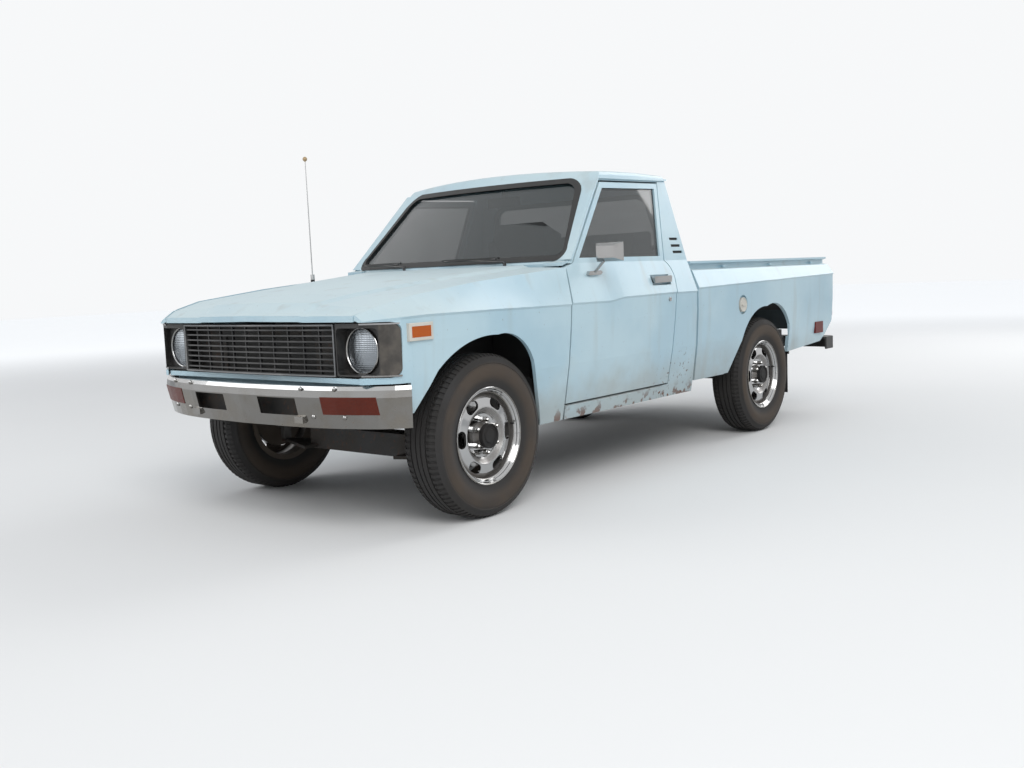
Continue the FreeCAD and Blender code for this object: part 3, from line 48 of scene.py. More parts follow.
scene = bpy.context.scene
scene.view_settings.view_transform = "Standard"
flat = math.cos(CAMERA_ELEVATION)
backwards = Vector((math.sin(CAMERA_AZIMUTH) * flat, -math.cos(CAMERA_AZIMUTH) * flat,
                    math.sin(CAMERA_ELEVATION)))
camera_data = bpy.data.cameras.new("camera")
camera_data.lens = CAMERA_LENS
camera_data.sensor_width = SENSOR_WIDTH
camera = bpy.data.objects.new("camera", camera_data)
scene.collection.objects.link(camera)
turn = backwards.to_track_quat("Z", "Y").to_matrix() @ Matrix.Rotation(CAMERA_ROLL, 3, "Z")
camera.matrix_world = Matrix.Translation(CAMERA_PLACE) @ turn.to_4x4()
scene.camera = camera


# Studio: a pale floor, an even pale surround and three large soft lamps, at the level at which
# a colour renders about as it is written.
FLOOR_SIZE = 80
FLOOR_DARK = (0.77, 0.77, 0.76)
FLOOR_LIGHT = (0.80, 0.80, 0.79)
# Far off the floor glows, so that it meets the surround. The range is of the distance's square.
GLOW_RANGE = (9.0, 220.0)
GLOW_COLOUR = (0.52, 0.53, 0.54)
SURROUND_COLOUR = (0.80, 0.84, 0.90, 1)
SURROUND_LEVEL = 0.55
SURROUND_SEEN = (0.93, 0.94, 0.95, 1)
# name, place, size, power
LAMPS = [
    ("key_lamp", (7, -6, 7), 6, 620),
    ("fill_lamp", (-7, -7, 5), 7, 300),
    ("rear_lamp", (2, 8, 6), 6, 320),
]


class Field:
    """A number, colour or vector in a node tree. Arithmetic on fields adds Math nodes."""

    def __init__(self, tree, socket):
        self.tree = tree
        self.socket = socket

    def node(self, kind, settings=None, sockets=None, output=0):
        """Adds a node: its settings come first, then the values or links of its sockets."""
        added = self.tree.nodes.new(kind)
        for name, value in (settings or {}).items():
            setattr(added, name, value)
        for name, value in (sockets or {}).items():
            if isinstance(value, Field):
                self.tree.links.new(value.socket, added.inputs[name])
            else:
                added.inputs[name].default_value = value
        return Field(self.tree, added.outputs[output])

    def maths(self, operation, first, second):
        return self.node("ShaderNodeMath", {"operation": operation}, {0: first, 1: second})

    def __add__(self, other):
        return self.maths("ADD", self, other)

    __radd__ = __add__

    def __sub__(self, other):
        return self.maths("SUBTRACT", self, other)

    def __rsub__(self, other):
        return self.maths("SUBTRACT", other, self)

    def __mul__(self, other):
        return self.maths("MULTIPLY", self, other)

    __rmul__ = __mul__


def larger(first, second):
    return first.maths("MAXIMUM", first, second)


world = bpy.data.worlds.new("surround")
scene.world = world
world.use_nodes = True
surround = Field(world.node_tree, world.node_tree.nodes["Background"].outputs[0])
rays = surround.node("ShaderNodeLightPath").socket.node.outputs
seen = Field(world.node_tree, rays["Is Camera Ray"])
for kind in ("Is Glossy Ray", "Is Transmission Ray"):
    seen = larger(seen, Field(world.node_tree, rays[kind]))
lighting = surround.node("ShaderNodeBackground",
                         sockets={"Color": SURROUND_COLOUR, "Strength": SURROUND_LEVEL})
shown = surround.node("ShaderNodeBackground", sockets={"Color": SURROUND_SEEN, "Strength": 1.0})
both = surround.node("ShaderNodeMixShader", sockets={0: seen, 1: lighting, 2: shown})
world.node_tree.links.new(both.socket, world.node_tree.nodes["World Output"].inputs["Surface"])

for name, lamp_place, size, power in LAMPS:
    lamp_data = bpy.data.lights.new(name, "AREA")
    lamp_data.size = size
    lamp_data.energy = power
    lamp = bpy.data.objects.new(name, lamp_data)
    lamp.location = lamp_place
    lamp.rotation_euler = Vector(lamp_place).to_track_quat("Z", "Y").to_euler()
    scene.collection.objects.link(lamp)


def finish(name, colour, roughness, metallic=0.0, **constants):
    """New material; gives it, its shader and the place on the object as a field."""
    material = bpy.data.materials.new(name)
    material.use_nodes = True
    tree = material.node_tree
    shader = tree.nodes["Principled BSDF"]
    shader.inputs["Base Color"].default_value = (*colour, 1)
    shader.inputs["Roughness"].default_value = roughness
    shader.inputs["Metallic"].default_value = metallic
    for socket, value in constants.items():
        shader.inputs[socket.replace("_", " ")].default_value = value
    spot = Field(tree, tree.nodes.new("ShaderNodeTexCoord").outputs["Object"])
    return material, shader, spot


def feed(shader, socket, field):
    shader.id_data.links.new(field.socket, shader.inputs[socket])


def noise(spot, scale, detail=3.0, stretch=(1, 1, 1)):
    """Soft noise, about 0.5 on average; stretch squeezes it along the axes."""
    place = spot.node("ShaderNodeMapping", sockets={"Vector": spot, "Scale": stretch})
    return spot.node("ShaderNodeTexNoise", sockets={"Vector": place, "Scale": scale, "Detail": detail})


def step(value, low, high):
    """0 below low, 1 above high, with a smooth change between them."""
    return value.node("ShaderNodeMapRange", {"interpolation_type": "SMOOTHSTEP"},
                      {"Value": value, "From Min": low, "From Max": high})


def blend(factor, first, second):
    """Colour between first and second."""
    first, second = [colour if isinstance(colour, Field) else (*colour, 1) for colour in (first, second)]
    return factor.node("ShaderNodeMix", {"data_type": "RGBA"}, {"Factor": factor, 6: first, 7: second},
                       output=2)


def axes(spot):
    """The three coordinates of a place, or the three parts of a direction."""
    parts = spot.node("ShaderNodeSeparateXYZ", sockets={"Vector": spot})
    return [Field(spot.tree, output) for output in parts.socket.node.outputs]


floor_material, floor_shader, floor_spot = finish("studio_floor", FLOOR_LIGHT, 0.9)
floor_x, floor_y = axes(floor_spot)[:2]
far = step(floor_x * floor_x + floor_y * floor_y, *GLOW_RANGE)
floor_rays = floor_spot.node("ShaderNodeLightPath").socket.node.outputs
floor_seen = Field(floor_material.node_tree, floor_rays["Is Camera Ray"])
feed(floor_shader, "Emission Color", blend(far * floor_seen, (0, 0, 0), GLOW_COLOUR))
floor_shader.inputs["Emission Strength"].default_value = 1.0
feed(floor_shader, "Base Color", blend(noise(floor_spot, 0.4), FLOOR_DARK, FLOOR_LIGHT))
bpy.ops.object.select_all(action="DESELECT")
bpy.ops.mesh.primitive_plane_add(size=FLOOR_SIZE)
floor = bpy.context.object
floor.name = "studio_floor"
floor.data.materials.append(floor_material)


# Body panels: pressed steel sheet in light blue paint that has gone chalky in the sun. Road dirt
# lies along the sills, rust comes through at the foot of the doors and the cab's rear corners,
# and what faces the wheels, the road and the engine is near black: underseal in part, and painted
# shade in the wheel arches, under the body and in the engine bay.
PAINT_SHADE = (0.36, 0.52, 0.60)
PAINT_FADED = (0.44, 0.59, 0.65)
PAINT_CHALK = (0.55, 0.64, 0.65)
ROAD_DIRT = (0.30, 0.27, 0.22)
RUST_DARK = (0.060, 0.024, 0.014)
RUST_LIGHT = (0.19, 0.075, 0.034)
# Near black of underseal, also used as painted shade under the body, in the arches and engine bay
UNDERSEAL_AND_SHADE = (0.02, 0.019, 0.018)
# Heights between which each fades out
SILL_DIRT = (0.34, 0.62)
SILL_RUST = (0.35, 0.43)
DOOR_FOOT = (0.40, 0.66)
SEALED_AND_SHADED_HEIGHTS = (0.60, 0.64)
ARCH_HEIGHTS = (0.84, 0.86)
# Soft front and rear edge of each, along the truck
SHUT_LINE = (-0.36, -0.08, 0.16, 0.24)
ENGINE_BAY = (-2.010, -1.995, -0.885, -0.870)
# Distance from an axle at which an arch ends, and from the centre plane at which the inside ends
ARCH_REACH = (0.44, 0.47)
INNER_HALF = (0.736, 0.746)
# The centre plane of the body lies this far to the right of the origin
BODY_MIDDLE = 0.0645
FRONT_AXLE_Y = -1.499
WHEELBASE = 2.600
REAR_AXLE_Y = FRONT_AXLE_Y + WHEELBASE


def smaller(first, second):
    return first.maths("MINIMUM", first, second)


def size_of(value):
    return value.maths("ABSOLUTE", value, 0)


def sign_of(value):
    return value.maths("SIGN", value, 0)


def band(value, edges):
    """1 between the middle two of four edges and 0 outside them all."""
    return step(value, *edges[:2]) * (1 - step(value, *edges[2:]))


def facing_way(spot):
    """The direction that the surface faces, as three parts."""
    return axes(spot.node("ShaderNodeNewGeometry", output=1))


def bump(spot, height, distance):
    return spot.node("ShaderNodeBump", sockets={"Height": height, "Distance": distance, "Strength": 1.0})


def coat_nodes(material, names):
    """Gives CAD nodes their finish."""
    for name in names:
        mesh = NODES[name].data
        mesh.materials.clear()
        mesh.materials.append(material)


def body_paint():
    material, shader, spot = finish("body_paint", PAINT_FADED, 0.42, Coat_Roughness=0.15)
    x, y, z = axes(spot)
    normal = facing_way(spot)
    cloudy = noise(spot, 2.2, 4)
    paint = blend(step(cloudy, 0.35, 0.65), PAINT_SHADE, PAINT_FADED)
    # Chalk gathers on what faces the sky
    chalk = step(normal[2] + (cloudy - 0.5) * 0.5, 0.35, 1.0)
    paint = blend(chalk * 0.75, paint, PAINT_CHALK)
    # Fine runs of old rain and dust
    streak = noise(spot, 9, 3, (1, 1, 0.12))
    paint = blend(step(streak, 0.56, 0.75) * 0.22, paint, ROAD_DIRT)
    dirt = (1 - step(z + (noise(spot, 6, 5) - 0.5) * 0.35, *SILL_DIRT)) * 0.5
    paint = blend(dirt, paint, ROAD_DIRT)
    # Rust along the lower rear edge of the doors and on the corner behind them
    door_foot = (1 - step(z, *DOOR_FOOT)) * band(y, SHUT_LINE)
    specks = step(noise(spot, 46, 6), 0.60, 0.66)
    spread = step(noise(spot, 5, 3), 0.42, 0.60)
    sill_rust = (1 - step(z, *SILL_RUST)) * step(noise(spot, 18, 5), 0.52, 0.60) * 0.8
    rust = larger(door_foot * specks * spread, sill_rust)
    # Single chips anywhere
    chips = step(noise(spot, 120, 2), 0.735, 0.76)
    rust = larger(rust, chips * 0.5)
    colour = blend(rust, paint, blend(noise(spot, 90), RUST_DARK, RUST_LIGHT))
    # Near black where the sheet faces the wheels, the road and the engine: underseal, and painted shade
    # in the wheel arches, under the body and in the engine bay
    side = x + BODY_MIDDLE
    inwards = 0 - normal[0] * sign_of(side)
    downwards = 0 - normal[2]
    sealed_and_shaded = larger(step(inwards, 0.3, 0.6), step(downwards, 0.3, 0.7)) * (1 - step(z, *SEALED_AND_SHADED_HEIGHTS))
    # Painted shade: inside the wheel arches and in the engine bay the sheet is darkened to near black
    nearer_axle = smaller(size_of(y - FRONT_AXLE_Y), size_of(y - REAR_AXLE_Y))
    over_wheel = 1 - step(nearer_axle, *ARCH_REACH)
    inside = 1 - step(size_of(side), *INNER_HALF)
    outwards_or_down = larger(step(0 - inwards, 0.2, 0.4), step(downwards, 0.2, 0.5))
    shaded_inside = larger(over_wheel * outwards_or_down, band(y, ENGINE_BAY))
    sealed_and_shaded = larger(sealed_and_shaded, shaded_inside * inside * (1 - step(z, *ARCH_HEIGHTS)))
    feed(shader, "Base Color", blend(sealed_and_shaded, colour, UNDERSEAL_AND_SHADE))
    rough = 0.34 + chalk * 0.16 + dirt * 0.3 + rust * 0.4 + sealed_and_shaded * 0.3 + (cloudy - 0.5) * 0.12
    feed(shader, "Roughness", rough)
    feed(shader, "Coat Weight", 0.35 - 0.35 * larger(chalk, dirt))
    waves = noise(spot, 3.5, 1) * 0.0012 + noise(spot, 400, 1) * 0.00002 - rust * 0.0003
    feed(shader, "Normal", bump(spot, waves, 1.0))
    return material


coat_nodes(body_paint(), ["cab_shell", "cab_floor", "cowl", "fenders", "front_panel", "bed_tub", "bed_sides",
                          "hood", "tailgate", "door_left", "door_right"])


# Glass: laminated windscreen, toughened side and rear panes, held in rubber. It is a little green
# and has a film of dust.
GLASS_TINT = (0.020, 0.030, 0.032)


def window_glass():
    material, shader, spot = finish("window_glass", GLASS_TINT, 0.03, IOR=1.6, Coat_Weight=1.0,
                                    Coat_Roughness=0.02)
    haze = step(noise(spot, 4, 5), 0.45, 0.75)
    feed(shader, "Roughness", 0.02 + haze * 0.07)
    feed(shader, "Alpha", 0.52 + haze * 0.06)
    return material


coat_nodes(window_glass(), ["cab_glass", "door_glass_left", "door_glass_right"])


# Seals and flaps: black rubber, gone grey on its edges. The seals are pressed round the panes,
# and the flaps hang behind the wheels.
RUBBER_BLACK = (0.014, 0.014, 0.014)
RUBBER_GREY = (0.06, 0.058, 0.055)


def black_rubber():
    material, shader, spot = finish("black_rubber", RUBBER_BLACK, 0.6)
    worn = step(noise(spot, 30, 4), 0.5, 0.75)
    feed(shader, "Base Color", blend(worn * 0.5, RUBBER_BLACK, RUBBER_GREY))
    feed(shader, "Roughness", 0.5 + worn * 0.25)
    feed(shader, "Normal", bump(spot, noise(spot, 300, 2), 0.0002))
    return material


RUBBER = black_rubber()
coat_nodes(RUBBER, ["window_seals", "mud_flaps"])


# Bright parts: chrome plate on pressed steel and on castings, dulled, and a little pitted low
# down. Faces that look sideways and down are darkened, most of all low down: painted shade for
# the dark ground in their reflection.
CHROME_TINT = (0.50, 0.50, 0.50)
# Painted shade on what faces sideways and down, for the dark ground in its reflection
DOWNWARD_SHADE = (0.115, 0.105, 0.088)
DRY_DUST = (0.34, 0.31, 0.27)
PIT_RUST = (0.20, 0.11, 0.06)
PIT_HEIGHTS = (0.25, 0.75)
LOW_SHADE_HEIGHTS = (0.66, 0.76)


def chrome_plate(name, tint, rough):
    material, shader, spot = finish(name, tint, rough, 1.0)
    z = axes(spot)[2]
    film_and_shade = step(noise(spot, 7, 5), 0.40, 0.75)
    low = 1 - step(z, *PIT_HEIGHTS)
    dust = film_and_shade * (0.25 + low * 0.5)
    pits = step(noise(spot, 160, 3), 0.66, 0.72) * low
    # Painted shade: faces that look down, and less so those that look sideways, are darkened, more low down
    down = 1 - step(facing_way(spot)[2], -0.2, 0.5)
    low_shade = 1 - step(z, *LOW_SHADE_HEIGHTS)
    shaded_colour = blend(down * (0.3 + low_shade * 0.4 + film_and_shade * 0.3), tint, DOWNWARD_SHADE)
    colour = blend(dust, shaded_colour, DRY_DUST)
    feed(shader, "Base Color", blend(pits * 0.8, colour, PIT_RUST))
    feed(shader, "Roughness", rough + dust * 0.25 + pits * 0.5)
    feed(shader, "Metallic", 1 - dust * 0.45 - pits * 0.5)
    feed(shader, "Normal", bump(spot, noise(spot, 5, 2) * 0.0008 - pits * 0.0002, 1.0))
    return material


CHROME = chrome_plate("chrome_plate", CHROME_TINT, 0.12)
coat_nodes(CHROME, ["front_bumper", "door_fittings_left", "door_fittings_right"])


# Wheels: steel discs pressed, welded into their rims and chromed. Their hollows, their centre and
# the side towards the frame are darkened brown: road film, with painted shade in the hollows and on the
# back.
WHEEL_TINT = (0.47, 0.47, 0.47)
# Brown of road film and of painted shade in the hollows and on the back of the disc
WHEEL_FILM_AND_SHADE = (0.085, 0.068, 0.053)
TYRE_RADIUS = 0.348
# Distances from the axle, for bands with soft edges
HOLLOW_BAND = (0.092, 0.104, 0.112, 0.128)
WELL_BAND = (0.160, 0.170, 0.180, 0.190)
CENTRE_EDGE = (0.050, 0.066)
# Distance of the disc's back from the centre plane
DISC_BACK = (0.640, 0.665)


def from_axle(y, z):
    """Distance from the line of the nearer axle, at its height over the ground."""
    ahead = y - FRONT_AXLE_Y
    behind = y - REAR_AXLE_Y
    high = z - TYRE_RADIUS
    square = smaller(ahead * ahead, behind * behind) + high * high
    return square.maths("SQRT", square, 0)


def wheel_chrome():
    material, shader, spot = finish("wheel_chrome", WHEEL_TINT, 0.12, 1.0)
    x, y, z = axes(spot)
    out = from_axle(y, z)
    centre = 1 - step(out, *CENTRE_EDGE)
    side = x + BODY_MIDDLE
    hand = sign_of(side)
    turned_in = step(0 - facing_way(spot)[0] * hand, 0.1, 0.4)
    back = larger(turned_in, 1 - step(side * hand, *DISC_BACK))
    # Road film with painted shade: the hollows, the centre and the back of the disc are darkened
    film_and_shade = band(out, HOLLOW_BAND) * 0.6 + band(out, WELL_BAND) * 0.8 + centre * 0.8
    film_and_shade = larger(film_and_shade * (0.6 + noise(spot, 35, 4) * 0.6), back)
    feed(shader, "Base Color", blend(film_and_shade, WHEEL_TINT, WHEEL_FILM_AND_SHADE))
    feed(shader, "Roughness", 0.11 + film_and_shade * 0.35 + back * 0.3)
    feed(shader, "Metallic", 1 - film_and_shade * 0.5 - back * 0.4)
    feed(shader, "Normal", bump(spot, noise(spot, 14, 2) * 0.0008, 1.0))
    return material


coat_nodes(wheel_chrome(), ["wheel_front_left", "wheel_front_right", "wheel_rear_left", "wheel_rear_right"])


# Plastic parts: grille, lamp bezels, dash and trim, moulded with a fine grain, clipped or screwed
# on, and faded by the sun. Weather has sanded the outer corners of the bezels dull brown.
CORNER_WORN = ((0.035, 0.031, 0.027), (0.080, 0.070, 0.058))
BEZEL_BLACK = ((0.012, 0.012, 0.012), (0.032, 0.030, 0.028))
BEZEL_CORNER = (0.712, 0.722)


def plastic(name, colour, faded, rough):
    material, shader, spot = finish(name, colour, rough)
    sun = step(noise(spot, 6, 4), 0.35, 0.7)
    feed(shader, "Base Color", blend(sun, colour, faded))
    feed(shader, "Roughness", rough + (sun - 0.5) * 0.15)
    feed(shader, "Normal", bump(spot, noise(spot, 250, 2), 0.00015))
    return material


def bezel_plastic():
    material, shader, spot = finish("bezel_plastic", BEZEL_BLACK[0], 0.5)
    corner = step(size_of(axes(spot)[0] + BODY_MIDDLE), *BEZEL_CORNER)
    worn = step(noise(spot, 22, 5), 0.35, 0.7)
    feed(shader, "Base Color", blend(corner, blend(worn, *BEZEL_BLACK), blend(worn, *CORNER_WORN)))
    feed(shader, "Roughness", 0.42 + worn * 0.2)
    feed(shader, "Normal", bump(spot, noise(spot, 260, 2), 0.0002))
    return material


GRILLE_PLASTIC = plastic("grille_plastic", (0.020, 0.020, 0.021), (0.060, 0.059, 0.058), 0.42)
DASH_PLASTIC = plastic("dash_plastic", (0.020, 0.019, 0.018), (0.035, 0.034, 0.032), 0.55)
BLACK_TRIM = plastic("black_trim", (0.022, 0.022, 0.022), (0.05, 0.05, 0.048), 0.5)
coat_nodes(GRILLE_PLASTIC, ["grille"])
coat_nodes(bezel_plastic(), ["lamp_bezels"])
coat_nodes(DASH_PLASTIC, ["dashboard", "steering_column", "steering_wheel"])
coat_nodes(BLACK_TRIM, ["rear_bumper", "fuel_filler"])


# Lamps: round sealed beams with ribbed glass over a silvered bowl, and moulded amber and red
# lenses. The turn lamps in the bumper are deep red-amber; the side markers are a clearer orange,
# made lighter still by painted sunlight.
CLEAR_GLASS = (0.34, 0.37, 0.40)
TURN_AMBER = (0.115, 0.013, 0.003)
# Orange of the side markers, lightened by painted sunlight
MARKER_ORANGE_SUNLIT = (0.40, 0.080, 0.006)
LENS_RED = (0.135, 0.006, 0.004)
# Between the turn lamps and the side markers
AMBER_HEIGHTS = (0.66, 0.70)


def ribs(spot, way, scale):
    """Even ribs, one after another along an axis."""
    return spot.node("ShaderNodeTexWave", {"bands_direction": way}, {"Vector": spot, "Scale": scale})


def lens(name, colour, rough, metallic=0.0, ribs_scale=60.0, upper=None):
    """Ribbed lens, in another colour on the upper lamps where one is given."""
    material, shader, spot = finish(name, colour, rough, metallic, Specular_IOR_Level=0.22,
                                    Coat_Weight=0.12, Coat_Roughness=0.05)
    upright = ribs(spot, "X", ribs_scale)
    level = ribs(spot, "Z", ribs_scale)
    shade = blend(noise(spot, 12, 3), tuple(part * 0.6 for part in colour), colour)
    if upper:
        # The upper lamps get the lighter orange: their own colour, with painted sunlight in it
        shade = blend(step(axes(spot)[2], *AMBER_HEIGHTS), shade, upper)
    feed(shader, "Base Color", shade)
    feed(shader, "Normal", bump(spot, upright + level, 0.0004))
    return material


coat_nodes(lens("clear_lens", CLEAR_GLASS, 0.13, 0.9, 40.0), ["headlamps"])
coat_nodes(lens("amber_lens", TURN_AMBER, 0.4, upper=MARKER_ORANGE_SUNLIT), ["amber_lamps"])
coat_nodes(lens("red_lens", LENS_RED, 0.35), ["red_lamps"])


# Chassis: black painted steel, bare castings and a steel exhaust, bolted and welded together
# under road dirt. The wiper arms are painted steel too, faded by the sun.
CHASSIS_DIRT = (0.060, 0.050, 0.041)
CRUST = (0.080, 0.036, 0.020)


def underside(name, colour, metallic, rough):
    material, shader, spot = finish(name, colour, rough, metallic)
    dirt = step(noise(spot, 8, 5), 0.35, 0.65)
    crust = step(noise(spot, 40, 4), 0.55, 0.7) * 0.6
    feed(shader, "Base Color", blend(crust, blend(dirt * 0.7, colour, CHASSIS_DIRT), CRUST))
    feed(shader, "Roughness", rough + dirt * 0.2)
    feed(shader, "Metallic", metallic - dirt * metallic * 0.8)
    feed(shader, "Normal", bump(spot, noise(spot, 60, 4), 0.0008))
    return material


coat_nodes(underside("chassis_paint", (0.025, 0.025, 0.025), 0.0, 0.6),
           ["chassis_frame", "radiator_support", "seat_frame", "fuel_tank", "front_suspension",
            "leaf_springs"])
coat_nodes(underside("cast_metal", (0.16, 0.155, 0.15), 0.7, 0.6),
           ["engine_block", "driveline", "rear_axle", "knuckle_left", "knuckle_right"])
coat_nodes(underside("bare_steel", (0.42, 0.41, 0.39), 0.9, 0.4), ["exhaust"])
coat_nodes(plastic("wiper_arm", (0.045, 0.045, 0.047), (0.14, 0.13, 0.12), 0.4), ["wipers"])


# Tyres: black rubber with dusty brown sidewalls. A wide band of ribs and shoulder lugs is
# moulded round the outside, and the beads grip the rims.
# Places are in metres from the ground under the middle of the front axle.
FRONT_AXLE = Vector((-BODY_MIDDLE, FRONT_AXLE_Y, 0))
WHEEL_SIDE = 0.670
TREAD_RADIUS = TYRE_RADIUS - 0.0001
TREAD_HALF = 0.062
TYRE_SEGMENTS = 168
TYRE_BLACK = (0.014, 0.013, 0.013)
TYRE_DUST = (0.031, 0.028, 0.025)
WALL_BROWN = (0.066, 0.048, 0.034)
# Distances from the axle between which the sidewall is brown
WALL_BAND = (0.222, 0.262, 0.292, 0.318)
# Sidewall from the tread's edge to the bead: inset, step outwards
SIDEWALL = [(0.012, 0.022), (0.018, 0.009), (0.003, 0.003), (0.006, 0.002), (0.003, -0.002), (0.026, 0.007),
            (0.024, -0.004), (0.022, -0.008), (0.018, -0.008), (0.006, -0.002), (0.014, -0.004)]
# Places of the two faces of each groove round the tread, from the middle
GROOVES = [(-0.044, -0.037), (-0.016, -0.009), (0.009, 0.016), (0.037, 0.044)]
# inset, step outwards
GROOVE_STEP = [(0.0006, -0.008)]
SLOT_STEP = [(0.0012, -0.0045)]
# Least distance from the axle of the faces that become grooves and slots, least distance of the
# slots from the tread's middle, and the most that their faces may look sideways
GROOVE_RADIUS = TYRE_RADIUS - 0.002
SLOT_RADIUS = 0.335
SLOT_FROM = 0.045
SLOT_STEEP = 0.75
# wheel, side, distance behind the front axle
WHEELS = [
    ("front_left", 1, 0.0),
    ("front_right", -1, 0.0),
    ("rear_left", 1, WHEELBASE),
    ("rear_right", -1, WHEELBASE),
]
# Turns of a round piece or of a bar's end, so that it points along an axis
POINTING = {"x": (0, math.pi / 2, 0), "y": (math.pi / 2, 0, 0), "z": (0, 0, 0)}


def at(x, y, z):
    return Vector((x, y, z)) + FRONT_AXLE


def fresh():
    """Back to object mode with nothing selected, ready for a new primitive."""
    if bpy.context.mode != "OBJECT":
        bpy.ops.object.mode_set(mode="OBJECT")
    bpy.ops.object.select_all(action="DESELECT")


def applied():
    """The piece that was just added, with its turn and size put into its mesh."""
    bpy.ops.object.transform_apply(location=True, rotation=True, scale=True)
    return bpy.context.object


def disc(place, radius, depth, sides, axis="z"):
    fresh()
    bpy.ops.mesh.primitive_cylinder_add(vertices=sides, radius=radius, depth=depth, location=place,
                                        rotation=POINTING[axis])
    return applied()


def choose(piece, test=None):
    """Edit mode with those faces selected whose middle and direction pass the test, or with all."""
    if bpy.context.mode != "OBJECT":
        bpy.ops.object.mode_set(mode="OBJECT")
    mesh = piece.data
    for group in (mesh.vertices, mesh.edges, mesh.polygons):
        group.foreach_set("select", [False] * len(group))
    bpy.context.tool_settings.mesh_select_mode = (False, False, True)
    for face in mesh.polygons:
        face.select = test is None or test(face.center, face.normal)
    bpy.ops.object.mode_set(mode="EDIT")


def facing(axis, sign=1, least=0.9):
    """Test for the faces that look along an axis, or against it."""
    number = "xyz".index(axis)
    return lambda place, normal: normal[number] * sign > least


def press(piece, test, steps):
    """Shapes the chosen faces by one inset after another, each with its rise."""
    choose(piece, test)
    for inset, rise in steps:
        bpy.ops.mesh.inset(thickness=inset, depth=rise)
    return piece


def settle(piece, name, body, material, smooth):
    """Puts the piece's place into its mesh, gives it its finish and lets it ride on its body."""
    fresh()
    piece.select_set(True)
    bpy.context.view_layer.objects.active = piece
    applied()
    piece.name = name
    piece.data.name = name
    piece.data.materials.clear()
    piece.data.materials.append(material)
    bpy.ops.object.shade_smooth_by_angle(angle=math.radians(smooth))
    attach(piece, body)


def outwards(piece):
    """All faces of a closed piece turned outwards."""
    choose(piece)
    bpy.ops.mesh.remove_doubles(threshold=0.00001)
    bpy.ops.mesh.select_all(action="SELECT")
    bpy.ops.mesh.normals_make_consistent(inside=False)
    bpy.ops.object.mode_set(mode="OBJECT")


def copied(piece, shift, turn=None):
    """Copy with a mesh of its own, moved and perhaps turned."""
    fresh()
    copy = piece.copy()
    copy.data = piece.data.copy()
    scene.collection.objects.link(copy)
    if turn:
        copy.data.transform(turn)
    copy.data.transform(Matrix.Translation(shift))
    return copy


def tyre_rubber():
    material, shader, spot = finish("tyre_rubber", TYRE_BLACK, 0.8)
    x, y, z = axes(spot)
    dust = step(noise(spot, 5, 5), 0.25, 0.70)
    # The brown dust lies on the sidewall and not on the tread
    brown = band(from_axle(y, z), WALL_BAND) * (0.35 + dust * 0.5)
    feed(shader, "Base Color", blend(brown, blend(dust * 0.5, TYRE_BLACK, TYRE_DUST), WALL_BROWN))
    feed(shader, "Roughness", 0.68 + dust * 0.2)
    feed(shader, "Normal", bump(spot, noise(spot, 160, 3), 0.0003))
    return material


def tyre():
    piece = disc((0, 0, 0), TREAD_RADIUS, 2 * TREAD_HALF, TYRE_SEGMENTS, "x")
    for side in (1, -1):
        press(piece, facing("x", side), SIDEWALL)
        bpy.ops.mesh.delete(type="FACE")
    # The two open edges at the beads are joined across the inside
    choose(piece)
    bpy.ops.mesh.select_all(action="DESELECT")
    bpy.ops.mesh.select_mode(type="EDGE")
    bpy.ops.mesh.select_non_manifold()
    bpy.ops.mesh.bridge_edge_loops()
    for groove in GROOVES:
        for face_x in groove:
            choose(piece)
            bpy.ops.mesh.bisect(plane_co=(face_x, 0, 0), plane_no=(1, 0, 0))

    def radius_of(place):
        return math.hypot(place.y, place.z)

    for first, second in GROOVES:
        press(piece, lambda place, normal: radius_of(place) > GROOVE_RADIUS and first < place.x < second,
              GROOVE_STEP)

    def is_slot(place, normal):
        """Every second face round the shoulder, as far as the sidewall."""
        if radius_of(place) < SLOT_RADIUS or abs(normal.x) > SLOT_STEEP:
            return False
        number = int((math.atan2(place.z, place.y) + math.pi) / (2 * math.pi / TYRE_SEGMENTS))
        return number % 2 == 0 and abs(place.x) > SLOT_FROM

    press(piece, is_slot, SLOT_STEP)
    outwards(piece)
    piece.data.transform(Matrix.Translation(at(WHEEL_SIDE, 0, TYRE_RADIUS)))
    return piece


TYRE = tyre_rubber()
first_tyre = tyre()
for wheel, side, back in WHEELS:
    piece = copied(first_tyre, (WHEEL_SIDE * (side - 1), back, 0))
    settle(piece, "tyre_tread_" + wheel, wheel + "_wheel", TYRE, 28)
    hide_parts("tyre_" + wheel)
bpy.data.objects.remove(first_tyre)


# Wheel dress: chromed acorn nuts round a dark open hub, a rolled bead on the rim's lip, and a
# rubber valve. The wheel itself is the CAD node, a pressed and chromed steel disc in its rim.
# Places are from the wheel's middle, and the x of each is how far out it lies.
NUT_COUNT = 6
NUT_CIRCLE = 0.06985
NUT_OUT = 0.058
NUT_RADIUS = 0.0125
NUT_HIGH = 0.020
NUT_CAP = [(0.0012, 0.0), (0.0006, 0.005), (0.0024, 0.005), (0.0034, 0.003)]
HUB_PLACE = (0.078, 0, 0)
HUB_RADIUS = 0.053
HUB_HIGH = 0.018
HUB_MOUTH = [(0.002, 0.002), (0.004, 0.0), (0.003, -0.006), (0.012, -0.0005), (0.004, 0.004), (0.003, 0.0)]
# radius, distance out, of the lip and of the round step just inside it
RIM_RINGS = [(0.2045, 0.0835), (0.1865, 0.0610)]
LIP_THICK = 0.0032
LIP_FLAT = [(0.0004, 0.0003)]
VALVE_PLACE = (0.066, 0.172, 0.030)
VALVE_RADIUS = 0.004
VALVE_LONG = 0.016
VALVE_TIP = [(0.0008, 0.001), (0.0006, 0.003)]


def joined(pieces):
    """One piece made of several."""
    fresh()
    for piece in pieces:
        piece.select_set(True)
    bpy.context.view_layer.objects.active = pieces[0]
    bpy.ops.object.join()
    return pieces[0]


